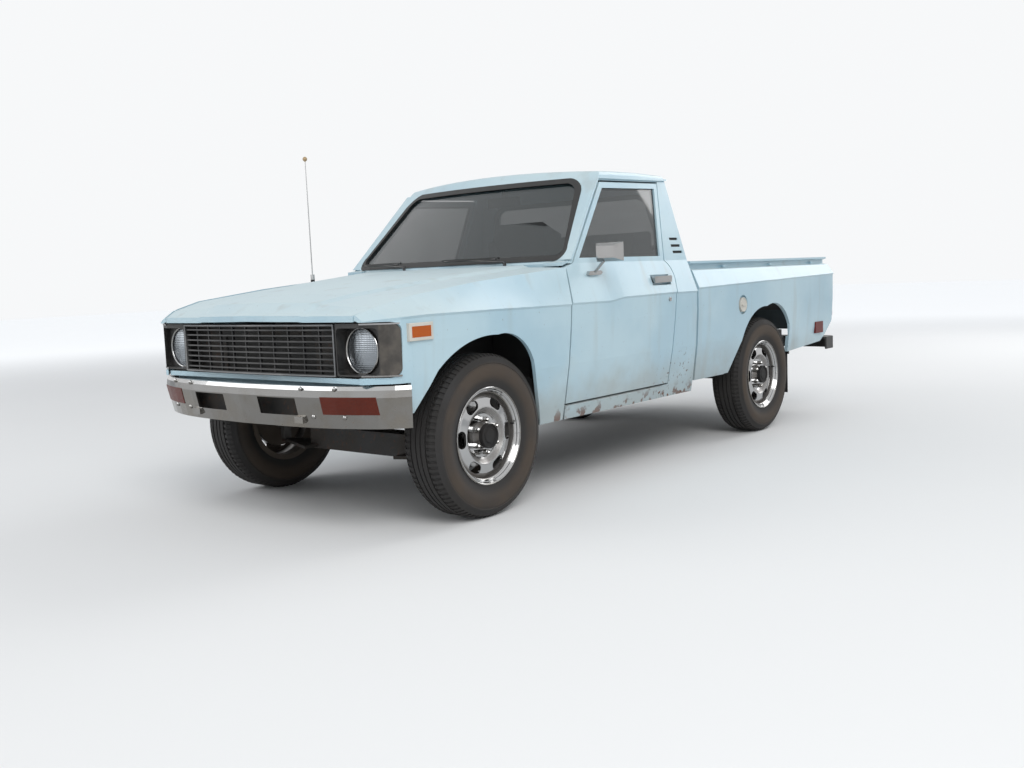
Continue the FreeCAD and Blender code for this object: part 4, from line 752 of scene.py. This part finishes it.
def ring(place, radius, thick, sides, axis):
    fresh()
    bpy.ops.mesh.primitive_torus_add(major_radius=radius, minor_radius=thick, major_segments=sides,
                                     minor_segments=10, location=place, rotation=POINTING[axis])
    return applied()


def nuts():
    """Six-sided nuts, each with a rounded cap drawn up by insets."""
    pieces = []
    for index in range(NUT_COUNT):
        turn = 2 * math.pi * index / NUT_COUNT
        nut = disc((NUT_OUT, NUT_CIRCLE * math.sin(turn), NUT_CIRCLE * math.cos(turn)), NUT_RADIUS, NUT_HIGH,
                   6, "x")
        pieces.append(press(nut, facing("x"), NUT_CAP))
    return joined(pieces)


def rim_beads():
    pieces = []
    for radius, out in RIM_RINGS:
        pieces.append(press(ring((out, 0, 0), radius, LIP_THICK, 96, "x"), facing("x", 1, 0.97), LIP_FLAT))
    return joined(pieces)


HUB_BLACK = plastic("hub_black", (0.004, 0.004, 0.004), (0.010, 0.008, 0.007), 0.8)
hub = press(disc(HUB_PLACE, HUB_RADIUS, HUB_HIGH, 40, "x"), facing("x"), HUB_MOUTH)
valve = press(disc(VALVE_PLACE, VALVE_RADIUS, VALVE_LONG, 12, "x"), facing("x"), VALVE_TIP)
dress = [
    (nuts(), "wheel_nuts_", CHROME, "chrome"),
    (hub, "hub_cap_", HUB_BLACK, "black_trim"),
    (rim_beads(), "rim_bead_", CHROME, "chrome"),
    (valve, "tyre_valve_", RUBBER, "seal_rubber"),
]
for model, name, material, slot in dress:
    for wheel, side, back in WHEELS:
        turn = Matrix.Rotation(math.pi, 4, "Z") if side < 0 else None
        piece = copied(model, at(WHEEL_SIDE * side, back, TYRE_RADIUS), turn)
        settle(piece, name + wheel, wheel + "_wheel", material, 32)
    bpy.data.objects.remove(model)


# Headlamp rims: a pressed bright ring holds each sealed beam in its housing. It is screwed to the
# housing behind the bezel.
SIDES = [(1, "left"), (-1, "right")]
LAMP_PLACE = (0.600, -0.552, 0.749)
LAMP_RIM_RADIUS = 0.0885
LAMP_RIM_THICK = 0.0042
LAMP_RIM_FLAT = [(0.0006, 0.0006)]


def mirrored(side, place):
    """A place on the left or on the right half of the truck."""
    return at(place[0] * side, *place[1:])


for side, name in SIDES:
    rim = ring(mirrored(side, LAMP_PLACE), LAMP_RIM_RADIUS, LAMP_RIM_THICK, 72, "y")
    press(rim, facing("y", -1, 0.95), LAMP_RIM_FLAT)
    settle(rim, "headlamp_rim_" + name, "truck_body", CHROME, 40)


# Bright edging: thin polished strips on the upper and lower edge of the wrapped corners, and a
# narrow pale surround on the grille. They are rolled sections, clipped on.
BRIGHT = chrome_plate("bright_trim", (0.62, 0.62, 0.63), 0.2)
SURROUND_METAL = plastic("surround_metal", (0.16, 0.165, 0.17), (0.24, 0.24, 0.24), 0.35)
# distance from the middle, place ahead
CORNER_EDGE = [(0.645, -0.6035), (0.698, -0.5845), (0.748, -0.5545), (0.779, -0.520)]
EDGE_HEIGHTS = (0.6570, 0.8550)
EDGE_SECTION = (0.006, 0.004)
GRILLE_HALF = 0.500
GRILLE_FACE = -0.604
GRILLE_BOW = 0.020
SURROUND_AHEAD = 0.0015
SURROUND_HEIGHTS = (0.6535, 0.8525)
POST_SIDE = 0.497
POST_HEIGHTS = (0.652, 0.854)
SURROUND_SECTION = (0.0045, 0.004)
SURROUND_STEPS = 12


def draw_out(shift):
    """Extrudes what is selected."""
    bpy.ops.mesh.extrude_region_move(TRANSFORM_OT_translate={"value": Vector(shift)})


def drawn_bar(stops, section, axis):
    """Bar with a small box section, drawn on through its stops; it starts along the axis."""
    fresh()
    bpy.ops.mesh.primitive_plane_add(size=1, location=stops[0], rotation=POINTING[axis])
    piece = bpy.context.object
    piece.scale = (*section, 1)
    applied()
    choose(piece)
    for start, end in zip(stops, stops[1:]):
        draw_out(end - start)
    outwards(piece)
    return piece


for side, name in SIDES:
    strips = []
    for height in EDGE_HEIGHTS:
        stops = [at(x * side, y, height) for x, y in CORNER_EDGE]
        strips.append(drawn_bar(stops, EDGE_SECTION, "x"))
    settle(joined(strips), "corner_edging_" + name, "truck_body", BRIGHT, 30)

bars = []
for height in SURROUND_HEIGHTS:
    stops = []
    for index in range(SURROUND_STEPS + 1):
        share = 2 * index / SURROUND_STEPS - 1
        bowed = GRILLE_FACE - SURROUND_AHEAD - GRILLE_BOW * (1 - share * share)
        stops.append(at(GRILLE_HALF * share, bowed, height))
    bars.append(drawn_bar(stops, SURROUND_SECTION, "x"))
for side in (1, -1):
    stops = [at(side * POST_SIDE, GRILLE_FACE - SURROUND_AHEAD, height) for height in POST_HEIGHTS]
    bars.append(drawn_bar(stops, SURROUND_SECTION, "z"))
settle(joined(bars), "grille_surround", "truck_body", SURROUND_METAL, 30)


# Bumper bolts: domed and chromed steel, in pairs over the bumper's irons and under them. They
# hold the bumper to the frame.
BOLT_RADIUS = 0.009
BOLT_HIGH = 0.006
BOLT_DOME = [(0.0012, 0.0016), (0.0026, 0.0014), (0.0026, 0.0005)]
# side from the middle, place ahead, height
BOLTS = [(0.371, -0.6795, 0.6085), (0.533, -0.6480, 0.6085), (0.415, -0.6560, 0.4970),
         (0.560, -0.6250, 0.4970)]
bolts = []
for place in BOLTS:
    for side in (1, -1):
        bolt = disc(mirrored(side, place), BOLT_RADIUS, BOLT_HIGH, 20, "y")
        bolts.append(press(bolt, facing("y", -1), BOLT_DOME))
settle(joined(bolts), "bumper_bolts", "truck_body", CHROME, 40)


# Shade panel: a black sheet behind the bumper's slots, painted shade that makes them look dark
# where the floor would show through. It has a stiffening step pressed round its edge.
# Black sheet steel, also used as painted shade behind the bumper's slots
BLACK_SHEET_AND_SHADE = underside("black_sheet_and_shade", (0.012, 0.012, 0.012), 0.0, 0.7)
SHADE_SHEET_PLACE = (0, -0.6200, 0.528)
SHADE_SHEET_SIZE = (0.860, 0.004, 0.130)
SHADE_SHEET_EDGE = [(0.012, 0), (0.003, -0.002)]


def slab(place, size):
    """Box of one size with its middle at the place."""
    fresh()
    bpy.ops.mesh.primitive_cube_add(size=1, location=place)
    bpy.context.object.scale = size
    return applied()


# The sheet is painted shade behind the slots
shade_sheet = press(slab(at(*SHADE_SHEET_PLACE), SHADE_SHEET_SIZE), facing("y", -1), SHADE_SHEET_EDGE)
settle(shade_sheet, "painted_shade_panel", "truck_body", BLACK_SHEET_AND_SHADE, 30)


# Side markers: a cream plastic frame holds each amber lens on the fender, with two screws from
# behind. Its face is proud of the lens.
CREAM = plastic("cream_plastic", (0.50, 0.48, 0.43), (0.60, 0.58, 0.52), 0.4)
MARKER_PLACE = (0.7935, -0.4275, 0.8175)
MARKER_SIZE = (0.014, 0.131, 0.069)
MARKER_FRAME = [(0.002, 0.002), (0.011, 0), (0.001, -0.004)]
for side, name in SIDES:
    marker = press(slab(mirrored(side, MARKER_PLACE), MARKER_SIZE), facing("x", side), MARKER_FRAME)
    settle(marker, "marker_frame_" + name, "truck_body", CREAM, 30)


# Pillar vents: black plastic slats sit in the three slots of each rear pillar. Each is a shallow
# tray that clips in from inside.
BLACK = plastic("vent_black", (0.010, 0.010, 0.010), (0.018, 0.018, 0.018), 0.6)
# height, front end, rear end
VENT_SLOTS = [(1.174, 1.581, 1.668), (1.138, 1.585, 1.682), (1.104, 1.591, 1.692)]
VENT_THICK = 0.006
VENT_HIGH = 0.0138
VENT_SUNK = 0.0095
VENT_TRAY = [(0.0012, 0.001), (0.003, -0.003)]
# Half of the cab's width at the belt, the belt's height, and how much the side leans in over it
BELT_HALF = 0.737
BELT_HEIGHT = 1.060
SIDE_LEAN = 0.21


def cab_side(height):
    """Distance of the cab's side from the centre plane over the belt."""
    return BELT_HALF - (height - BELT_HEIGHT) * SIDE_LEAN


for side, name in SIDES:
    slats = []
    for height, front, rear in VENT_SLOTS:
        place = at(side * (cab_side(height) - VENT_SUNK), (front + rear) / 2, height)
        slat = slab(place, (VENT_THICK, rear - front, VENT_HIGH))
        slats.append(press(slat, facing("x", side), VENT_TRAY))
    settle(joined(slats), "pillar_vents_" + name, "truck_body", BLACK, 30)


# Door locks: a chromed barrel with a dark key slot under each handle, held by a clip from inside
# the door's skin.
LOCK_PLACE = (0.7945, 1.436, 0.859)
LOCK_RADIUS = 0.0115
LOCK_DEEP = 0.010
LOCK_FACE = [(0.0016, 0.0014), (0.0016, -0.0004), (0.0040, -0.0012), (0.0012, -0.003)]
for side, name in SIDES:
    barrel = disc(mirrored(side, LOCK_PLACE), LOCK_RADIUS, LOCK_DEEP, 28, "x")
    press(barrel, facing("x", side), LOCK_FACE)
    settle(barrel, "door_lock_" + name, name + "_door", CHROME, 30)


# Window runs: black rubber channel inside each door's window opening, held by the frame.
# Corners of the opening seen from the side, in the order of a plane's vertices
OPENING = [(0.722, 1.084), (1.036, 1.426), (1.450, 1.084), (1.532, 1.440)]
RUN_WIDE = 0.011
RUN_THICK = 0.010
RUN_SUNK = 0.012


def open_frame(piece, wide, shift):
    """Makes a flat sheet a frame of the given width, as thick as the shift."""
    press(piece, None, [(wide, 0)])
    bpy.ops.mesh.delete(type="FACE")
    choose(piece)
    draw_out(shift)
    outwards(piece)


for side, name in SIDES:
    fresh()
    bpy.ops.mesh.primitive_plane_add(size=1, location=(0, 0, 0))
    run = bpy.context.object
    for vertex, (y, z) in zip(run.data.vertices, OPENING):
        vertex.co = at(side * (cab_side(z) - RUN_SUNK), y, z)
    run.data.update()
    open_frame(run, RUN_WIDE, (-side * RUN_THICK, 0, 0))
    settle(run, "window_run_" + name, name + "_door", RUBBER, 30)


# Fuel cap: cream moulded cap with a grip across it, screwed on the filler's neck in the round
# recess of the bed's left side.
CAP_PLACE = (0.7875, 2.270, 0.790)
CAP_RADIUS = 0.042
CAP_THICK = 0.017
CAP_DISH = [(0.002, 0.002), (0.003, 0.0), (0.002, -0.003), (0.006, 0.0)]
GRIP_NARROWED = (1, 1, 0.35)
GRIP_RISE = (0.007, 0, 0)
GRIP_TAPER = (1, 0.9, 0.7)
cap = press(disc(at(*CAP_PLACE), CAP_RADIUS, CAP_THICK, 40, "x"), facing("x"), CAP_DISH)
bpy.ops.transform.resize(value=GRIP_NARROWED)
draw_out(GRIP_RISE)
bpy.ops.transform.resize(value=GRIP_TAPER)
settle(cap, "fuel_cap", "truck_body", CREAM, 30)


# Wiper blades: black rubber in a sprung black holder, along the foot of the windscreen. Each is
# hooked on its arm.
# start and end of each blade from the middle
BLADES = [(0.372, 0.022), (-0.282, -0.616)]
BLADE_STEPS = 8
BLADE_SECTION = (0.009, 0.012)
BLADE_HEIGHT = 1.0995
# The foot of the windscreen is bowed: its place in the middle, and at this distance from it
GLASS_FOOT = 0.560
FOOT_BOW = 0.070
FOOT_HALF = 0.700
BLADE_AHEAD = 0.0130
blades = []
for start_x, end_x in BLADES:
    stops = []
    for index in range(BLADE_STEPS + 1):
        x = start_x + (end_x - start_x) * index / BLADE_STEPS
        stops.append(at(x, GLASS_FOOT + FOOT_BOW * (x / FOOT_HALF) ** 2 - BLADE_AHEAD, BLADE_HEIGHT))
    blades.append(drawn_bar(stops, BLADE_SECTION, "x"))
settle(joined(blades), "wiper_blades", "truck_body", RUBBER, 30)


# Antenna: bright steel mast on a black base that is screwed to the cowl, with a tan foam ball
# on its tip.
FOOT_HEIGHTS = (1.034, 1.037)
BALL_HEIGHTS = (1.648, 1.650)
MAST_STEEL = (0.55, 0.55, 0.55)
BALL_TAN = (0.42, 0.30, 0.17)
BASE_BLACK = (0.02, 0.02, 0.02)


def antenna_finish():
    material, shader, spot = finish("antenna_finish", MAST_STEEL, 0.25, 1.0)
    z = axes(spot)[2]
    ball = step(z, *BALL_HEIGHTS)
    foot = 1 - step(z, *FOOT_HEIGHTS)
    feed(shader, "Base Color", blend(foot, blend(ball, MAST_STEEL, BALL_TAN), BASE_BLACK))
    cover = larger(ball, foot)
    feed(shader, "Metallic", 1 - cover)
    feed(shader, "Roughness", 0.25 + cover * 0.5)
    feed(shader, "Normal", bump(spot, noise(spot, 300, 2), 0.0002))
    return material


coat_nodes(antenna_finish(), ["antenna"])


# Tailgate latch: a black recessed pull in the middle of the gate, with its lever, screwed to the
# gate's outer sheet.
LATCH_PLACE = (0, 3.606, 0.985)
LATCH_SIZE = (0.190, 0.016, 0.062)
LATCH_CUP = [(0.006, 0.002), (0.003, -0.010), (0.010, 0)]
LATCH_LEVER = (0, 0.009, 0.004)
latch = press(slab(at(*LATCH_PLACE), LATCH_SIZE), facing("y"), LATCH_CUP)
draw_out(LATCH_LEVER)
settle(latch, "tailgate_latch", "tailgate_panel", BLACK, 30)


# Radiator: a black painted core with upright fins, seen through the grille. It is bolted in its
# dark support.
CORE_PLACE = (0, -0.512, 0.700)
CORE_SIZE = (0.616, 0.030, 0.220)
CORE_EDGE = [(0.010, 0), (0.002, -0.004)]
CORE_BLACK = (0.006, 0.006, 0.006)
CORE_DUST = (0.020, 0.018, 0.016)
FIN_SCALE = 90.0


def radiator_black():
    material, shader, spot = finish("radiator_black", CORE_BLACK, 0.6)
    feed(shader, "Base Color", blend(noise(spot, 9, 4), CORE_BLACK, CORE_DUST))
    feed(shader, "Normal", bump(spot, ribs(spot, "X", FIN_SCALE), 0.001))
    return material


core = press(slab(at(*CORE_PLACE), CORE_SIZE), facing("y", -1), CORE_EDGE)
settle(core, "radiator_core", "truck_body", radiator_black(), 30)


# Air cleaner: a round black pressed box on the engine, with its snout, and held by a wing nut in
# the middle of its lid.
CLEANER_PLACE = (0, -0.05, 0.905)
CLEANER_RADIUS = 0.150
CLEANER_HIGH = 0.050
CLEANER_LID = [(0.005, 0.004), (0.012, 0.0), (0.006, -0.004), (0.090, 0.0), (0.006, 0.004), (0.012, 0.0),
               (0.006, 0.006)]
SNOUT = (0, -0.090, 0)
cleaner = press(disc(at(*CLEANER_PLACE), CLEANER_RADIUS, CLEANER_HIGH, 64), facing("z"), CLEANER_LID)
choose(cleaner, facing("y", -1, 0.99))
draw_out(SNOUT)
settle(cleaner, "air_cleaner", "truck_body", BLACK_SHEET_AND_SHADE, 35)


# Bench seat: foam cushion and back under dark woven cloth, with sewn upright channels. Each is
# blown up a little from its foam by cloth pressure, and the channels are drawn in after that.
SEAT_DARK = (0.022, 0.024, 0.030)
SEAT_WORN = (0.050, 0.052, 0.060)
SEAT_HALF = 0.588
SEAT_EDGE = 0.028
SEAT_VOXEL = 0.012
SEAT_PRESSURE = 4
SEAT_FRAMES = 20
SEAT_CAP = 0.010
CHANNEL_PITCH = 0.098
CHANNEL_WIDE = 0.010
CHANNEL_DEEP = 0.007
CHANNELS_HALF = 0.55
# node, outline from the front foot round as seen from the side, direction that the seams face
SEAT_PADS = [
    ("seat_cushion", [(1.116, 0.572), (1.112, 0.778), (1.556, 0.760), (1.556, 0.572)], (0, -0.25, 0.97)),
    ("seat_back", [(1.578, 0.612), (1.602, 1.232), (1.636, 1.232), (1.668, 0.650)], (0, -0.99, -0.05)),
]


def seat_cloth():
    material, shader, spot = finish("seat_cloth", SEAT_DARK, 0.9)
    worn = step(noise(spot, 5, 4), 0.4, 0.7)
    feed(shader, "Base Color", blend(worn, SEAT_DARK, SEAT_WORN))
    feed(shader, "Roughness", 0.85 + worn * 0.1)
    feed(shader, "Normal", bump(spot, noise(spot, 180, 2), 0.0002))
    return material


def rounded(piece, radius):
    """All edges of a piece rounded."""
    choose(piece)
    bpy.ops.mesh.bevel(offset=radius, segments=3, affect="EDGES")
    return piece


def pad(outline):
    """Foam block with rounded edges, in small even faces."""
    fresh()
    bpy.ops.mesh.primitive_cube_add(size=2, location=(0, 0, 0))
    piece = bpy.context.object
    low_front, high_front, high_back, low_back = outline
    for vertex in piece.data.vertices:
        before = vertex.co.copy()
        if before.y < 0:
            y, z = high_front if before.z > 0 else low_front
        else:
            y, z = high_back if before.z > 0 else low_back
        vertex.co = at(before.x * SEAT_HALF, y, z)
    piece.data.update()
    rounded(piece, SEAT_EDGE)
    bpy.ops.object.mode_set(mode="OBJECT")
    piece.data.remesh_voxel_size = SEAT_VOXEL
    bpy.ops.object.voxel_remesh()
    return piece


def blown(piece):
    """Puts cloth pressure on the pad, holds each point within the cap, and smooths the result."""
    rest = [vertex.co.copy() for vertex in piece.data.vertices]
    cloth = piece.modifiers.new("padding", "CLOTH")
    cloth.settings.use_pressure = True
    cloth.settings.uniform_pressure_force = SEAT_PRESSURE
    cloth.settings.effector_weights.gravity = 0
    for number in range(1, SEAT_FRAMES + 1):
        scene.frame_set(number)
    swollen = piece.evaluated_get(bpy.context.evaluated_depsgraph_get()).data
    places = [vertex.co.copy() for vertex in swollen.vertices]
    piece.modifiers.remove(cloth)
    scene.frame_set(1)
    for vertex, start, end in zip(piece.data.vertices, rest, places):
        move = end - start
        if move.length > SEAT_CAP:
            move = move.normalized() * SEAT_CAP
        vertex.co = start + move
    piece.data.update()
    fresh()
    piece.select_set(True)
    bpy.context.view_layer.objects.active = piece
    rounding = piece.modifiers.new("rounding", "SUBSURF")
    rounding.levels = 1
    rounding.render_levels = 1
    bpy.ops.object.modifier_apply(modifier=rounding.name)


def draw_in_channels(piece, towards):
    """Sewn seams: the cover is pulled in along even lines over the side that faces towards."""
    for vertex, normal in zip(piece.data.vertices, [corner.vector for corner in piece.data.vertex_normals]):
        facing_share = max(0.0, normal.dot(towards))
        side = vertex.co.x + BODY_MIDDLE
        away = abs(side / CHANNEL_PITCH - round(side / CHANNEL_PITCH)) * CHANNEL_PITCH
        if abs(side) < CHANNELS_HALF:
            vertex.co -= normal * (CHANNEL_DEEP * facing_share * math.exp(-(away / CHANNEL_WIDE) ** 2))
    piece.data.update()


SEAT_CLOTH = seat_cloth()
coat_nodes(SEAT_CLOTH, ["seat_cushion", "seat_back"])
for node, outline, towards in SEAT_PADS:
    cover = pad(outline)
    blown(cover)
    draw_in_channels(cover, Vector(towards))
    settle(cover, node + "_cover", "truck_body", SEAT_CLOTH, 60)
    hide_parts(node)


# Door trims: grained black card clipped to the inside of each door, with a padded rest and a
# bright window crank.
CARD_PLACE = (0.6865, 1.075, 0.780)
CARD_SIZE = (0.008, 0.660, 0.420)
CARD_PANEL = [(0.004, 0.002), (0.050, 0), (0.004, -0.003)]
REST_PLACE = (0.662, 1.150, 0.860)
REST_SIZE = (0.046, 0.280, 0.050)
REST_EDGE = 0.012
CRANK_PLACE = (0.674, 0.860, 0.760)
CRANK_RADIUS = 0.016
CRANK_THICK = 0.016
CRANK_BOSS = [(0.004, 0.004)]
LEVER_PLACE = (0.664, 0.868, 0.766)
# From the lever's foot on
LEVER_BENDS = [(0, 0, 0), (0, 0.050, 0.030), (0, 0.088, 0.052)]
LEVER_SECTION = (0.012, 0.007)
for side, name in SIDES:
    body = name + "_door"
    card = press(slab(mirrored(side, CARD_PLACE), CARD_SIZE), facing("x", -side), CARD_PANEL)
    settle(card, "door_card_" + name, body, BLACK, 30)
    rest = rounded(slab(mirrored(side, REST_PLACE), REST_SIZE), REST_EDGE)
    settle(rest, "door_rest_" + name, body, BLACK, 40)
    crank = disc(mirrored(side, CRANK_PLACE), CRANK_RADIUS, CRANK_THICK, 24, "x")
    press(crank, facing("x", -side), CRANK_BOSS)
    stops = [mirrored(side, LEVER_PLACE) + Vector(bend) for bend in LEVER_BENDS]
    lever = drawn_bar(stops, LEVER_SECTION, "y")
    settle(joined([crank, lever]), "window_crank_" + name, body, CHROME, 35)


# Gear lever: bright bent rod with a black knob, through a rubber boot on the tunnel. The boot is
# screwed down under its rim.
BOOT_PLACE = (0, 0.930, 0.487)
BOOT_FOOT = 0.060
BOOT_NECK = 0.012
BOOT_HIGH = 0.070
BOOT_LIP = [(0.002, 0.004)]
STICK_PLACE = (0, 0.930, 0.530)
STICK_RADIUS = 0.0065
STICK_FOOT = 0.020
STICK_BENDS = [(0, 0.02, 0.10), (0, 0.05, 0.10), (0, 0.02, 0.06)]
KNOB_PLACE = (0, 1.020, 0.812)
KNOB_RADIUS = 0.020
KNOB_HIGH = 0.034
KNOB_DOME = [(0.005, 0.005), (0.006, 0.002)]
fresh()
bpy.ops.mesh.primitive_cone_add(vertices=32, radius1=BOOT_FOOT, radius2=BOOT_NECK, depth=BOOT_HIGH,
                                location=at(*BOOT_PLACE))
boot = press(applied(), facing("z", 1, 0.99), BOOT_LIP)
settle(boot, "gear_boot", "truck_body", RUBBER, 40)
stick = disc(at(*STICK_PLACE), STICK_RADIUS, STICK_FOOT, 16)
choose(stick, facing("z", 1, 0.99))
for bend in STICK_BENDS:
    draw_out(bend)
settle(stick, "gear_lever", "truck_body", BRIGHT, 40)
knob = disc(at(*KNOB_PLACE), KNOB_RADIUS, KNOB_HIGH, 32)
press(knob, lambda place, normal: abs(normal.z) > 0.99, KNOB_DOME)
settle(knob, "gear_knob", "truck_body", BLACK, 60)


# Inside mirror: a black shell with a plane glass on a short stem that is screwed to the roof rail.
MIRROR_PLACE = (0, 1.075, 1.405)
MIRROR_SIZE = (0.220, 0.018, 0.055)
MIRROR_EDGE = 0.006
MIRROR_GLASS = [(0.003, 0), (0.001, -0.002)]
STEM_PLACE = (0, 1.070, 1.425)
# From the stem's foot on
STEM_BENDS = [(0, 0, 0), (0, 0.004, 0.035), (0, 0.020, 0.072)]
STEM_SECTION = (0.014, 0.010)
mirror = rounded(slab(at(*MIRROR_PLACE), MIRROR_SIZE), MIRROR_EDGE)
press(mirror, facing("y", 1, 0.99), MIRROR_GLASS)
stem = drawn_bar([at(*STEM_PLACE) + Vector(bend) for bend in STEM_BENDS], STEM_SECTION, "z")
settle(joined([mirror, stem]), "inside_mirror", "truck_body", BLACK, 35)


# Instrument hood: black moulded cowl on the dash in front of the driver, open towards the seat
# and screwed down along its foot.
HOOD_PLACE = (0.350, 0.770, 1.055)
HOOD_SIZE = (0.340, 0.120, 0.040)
HOOD_TOP = (0.350, 0.770, 1.075)
HOOD_TAPER = (0.86, 0.80, 1)
HOOD_EDGE = 0.010
HOOD_MOUTH = [(0.006, 0), (0.002, -0.020)]
dash_hood = slab(at(*HOOD_PLACE), HOOD_SIZE)
choose(dash_hood, facing("z"))
bpy.ops.transform.resize(value=HOOD_TAPER, center_override=at(*HOOD_TOP))
rounded(dash_hood, HOOD_EDGE)
press(dash_hood, facing("y", 1, 0.8), HOOD_MOUTH)
settle(dash_hood, "instrument_hood", "truck_body", BLACK, 35)


# Rear plate: a blank pressed plate with a rolled edge, painted and screwed to the middle of
# the bumper.
PLATE_PAINT = plastic("plate_paint", (0.55, 0.55, 0.53), (0.62, 0.62, 0.60), 0.4)
PLATE_PLACE = (0, 3.6980, 0.4700)
PLATE_SIZE = (0.300, 0.002, 0.076)
PLATE_EDGE = [(0.003, 0.0008), (0.004, -0.0012)]
plate = press(slab(at(*PLATE_PLACE), PLATE_SIZE), facing("y"), PLATE_EDGE)
settle(plate, "rear_plate", "truck_body", PLATE_PAINT, 30)


# Reversing lamps: a white lens in the foot of each rear lamp, with a bright frame round the whole
# that is screwed on with it.
WHITE_LENS = lens("white_lens", (0.62, 0.62, 0.60), 0.2)
WHITE_PLACE = (0.744, 3.6125, 0.688)
WHITE_SIZE = (0.068, 0.006, 0.048)
WHITE_EDGE = [(0.003, 0.002), (0.002, -0.001)]
LAMP_FRAME_PLACE = (0.744, 3.6075, 0.755)
LAMP_FRAME_SIZE = (0.082, 1, 0.196)
LAMP_FRAME_WIDE = 0.005
LAMP_FRAME_THICK = 0.008
for side, name in SIDES:
    white = press(slab(mirrored(side, WHITE_PLACE), WHITE_SIZE), facing("y"), WHITE_EDGE)
    settle(white, "reversing_lens_" + name, "truck_body", WHITE_LENS, 30)
    fresh()
    bpy.ops.mesh.primitive_plane_add(size=1, location=(0, 0, 0), rotation=(-math.pi / 2, 0, 0))
    lamp_frame = applied()
    lamp_frame.scale = LAMP_FRAME_SIZE
    lamp_frame.location = mirrored(side, LAMP_FRAME_PLACE)
    applied()
    open_frame(lamp_frame, LAMP_FRAME_WIDE, (0, LAMP_FRAME_THICK, 0))
    settle(lamp_frame, "rear_lamp_frame_" + name, "truck_body", BRIGHT, 30)
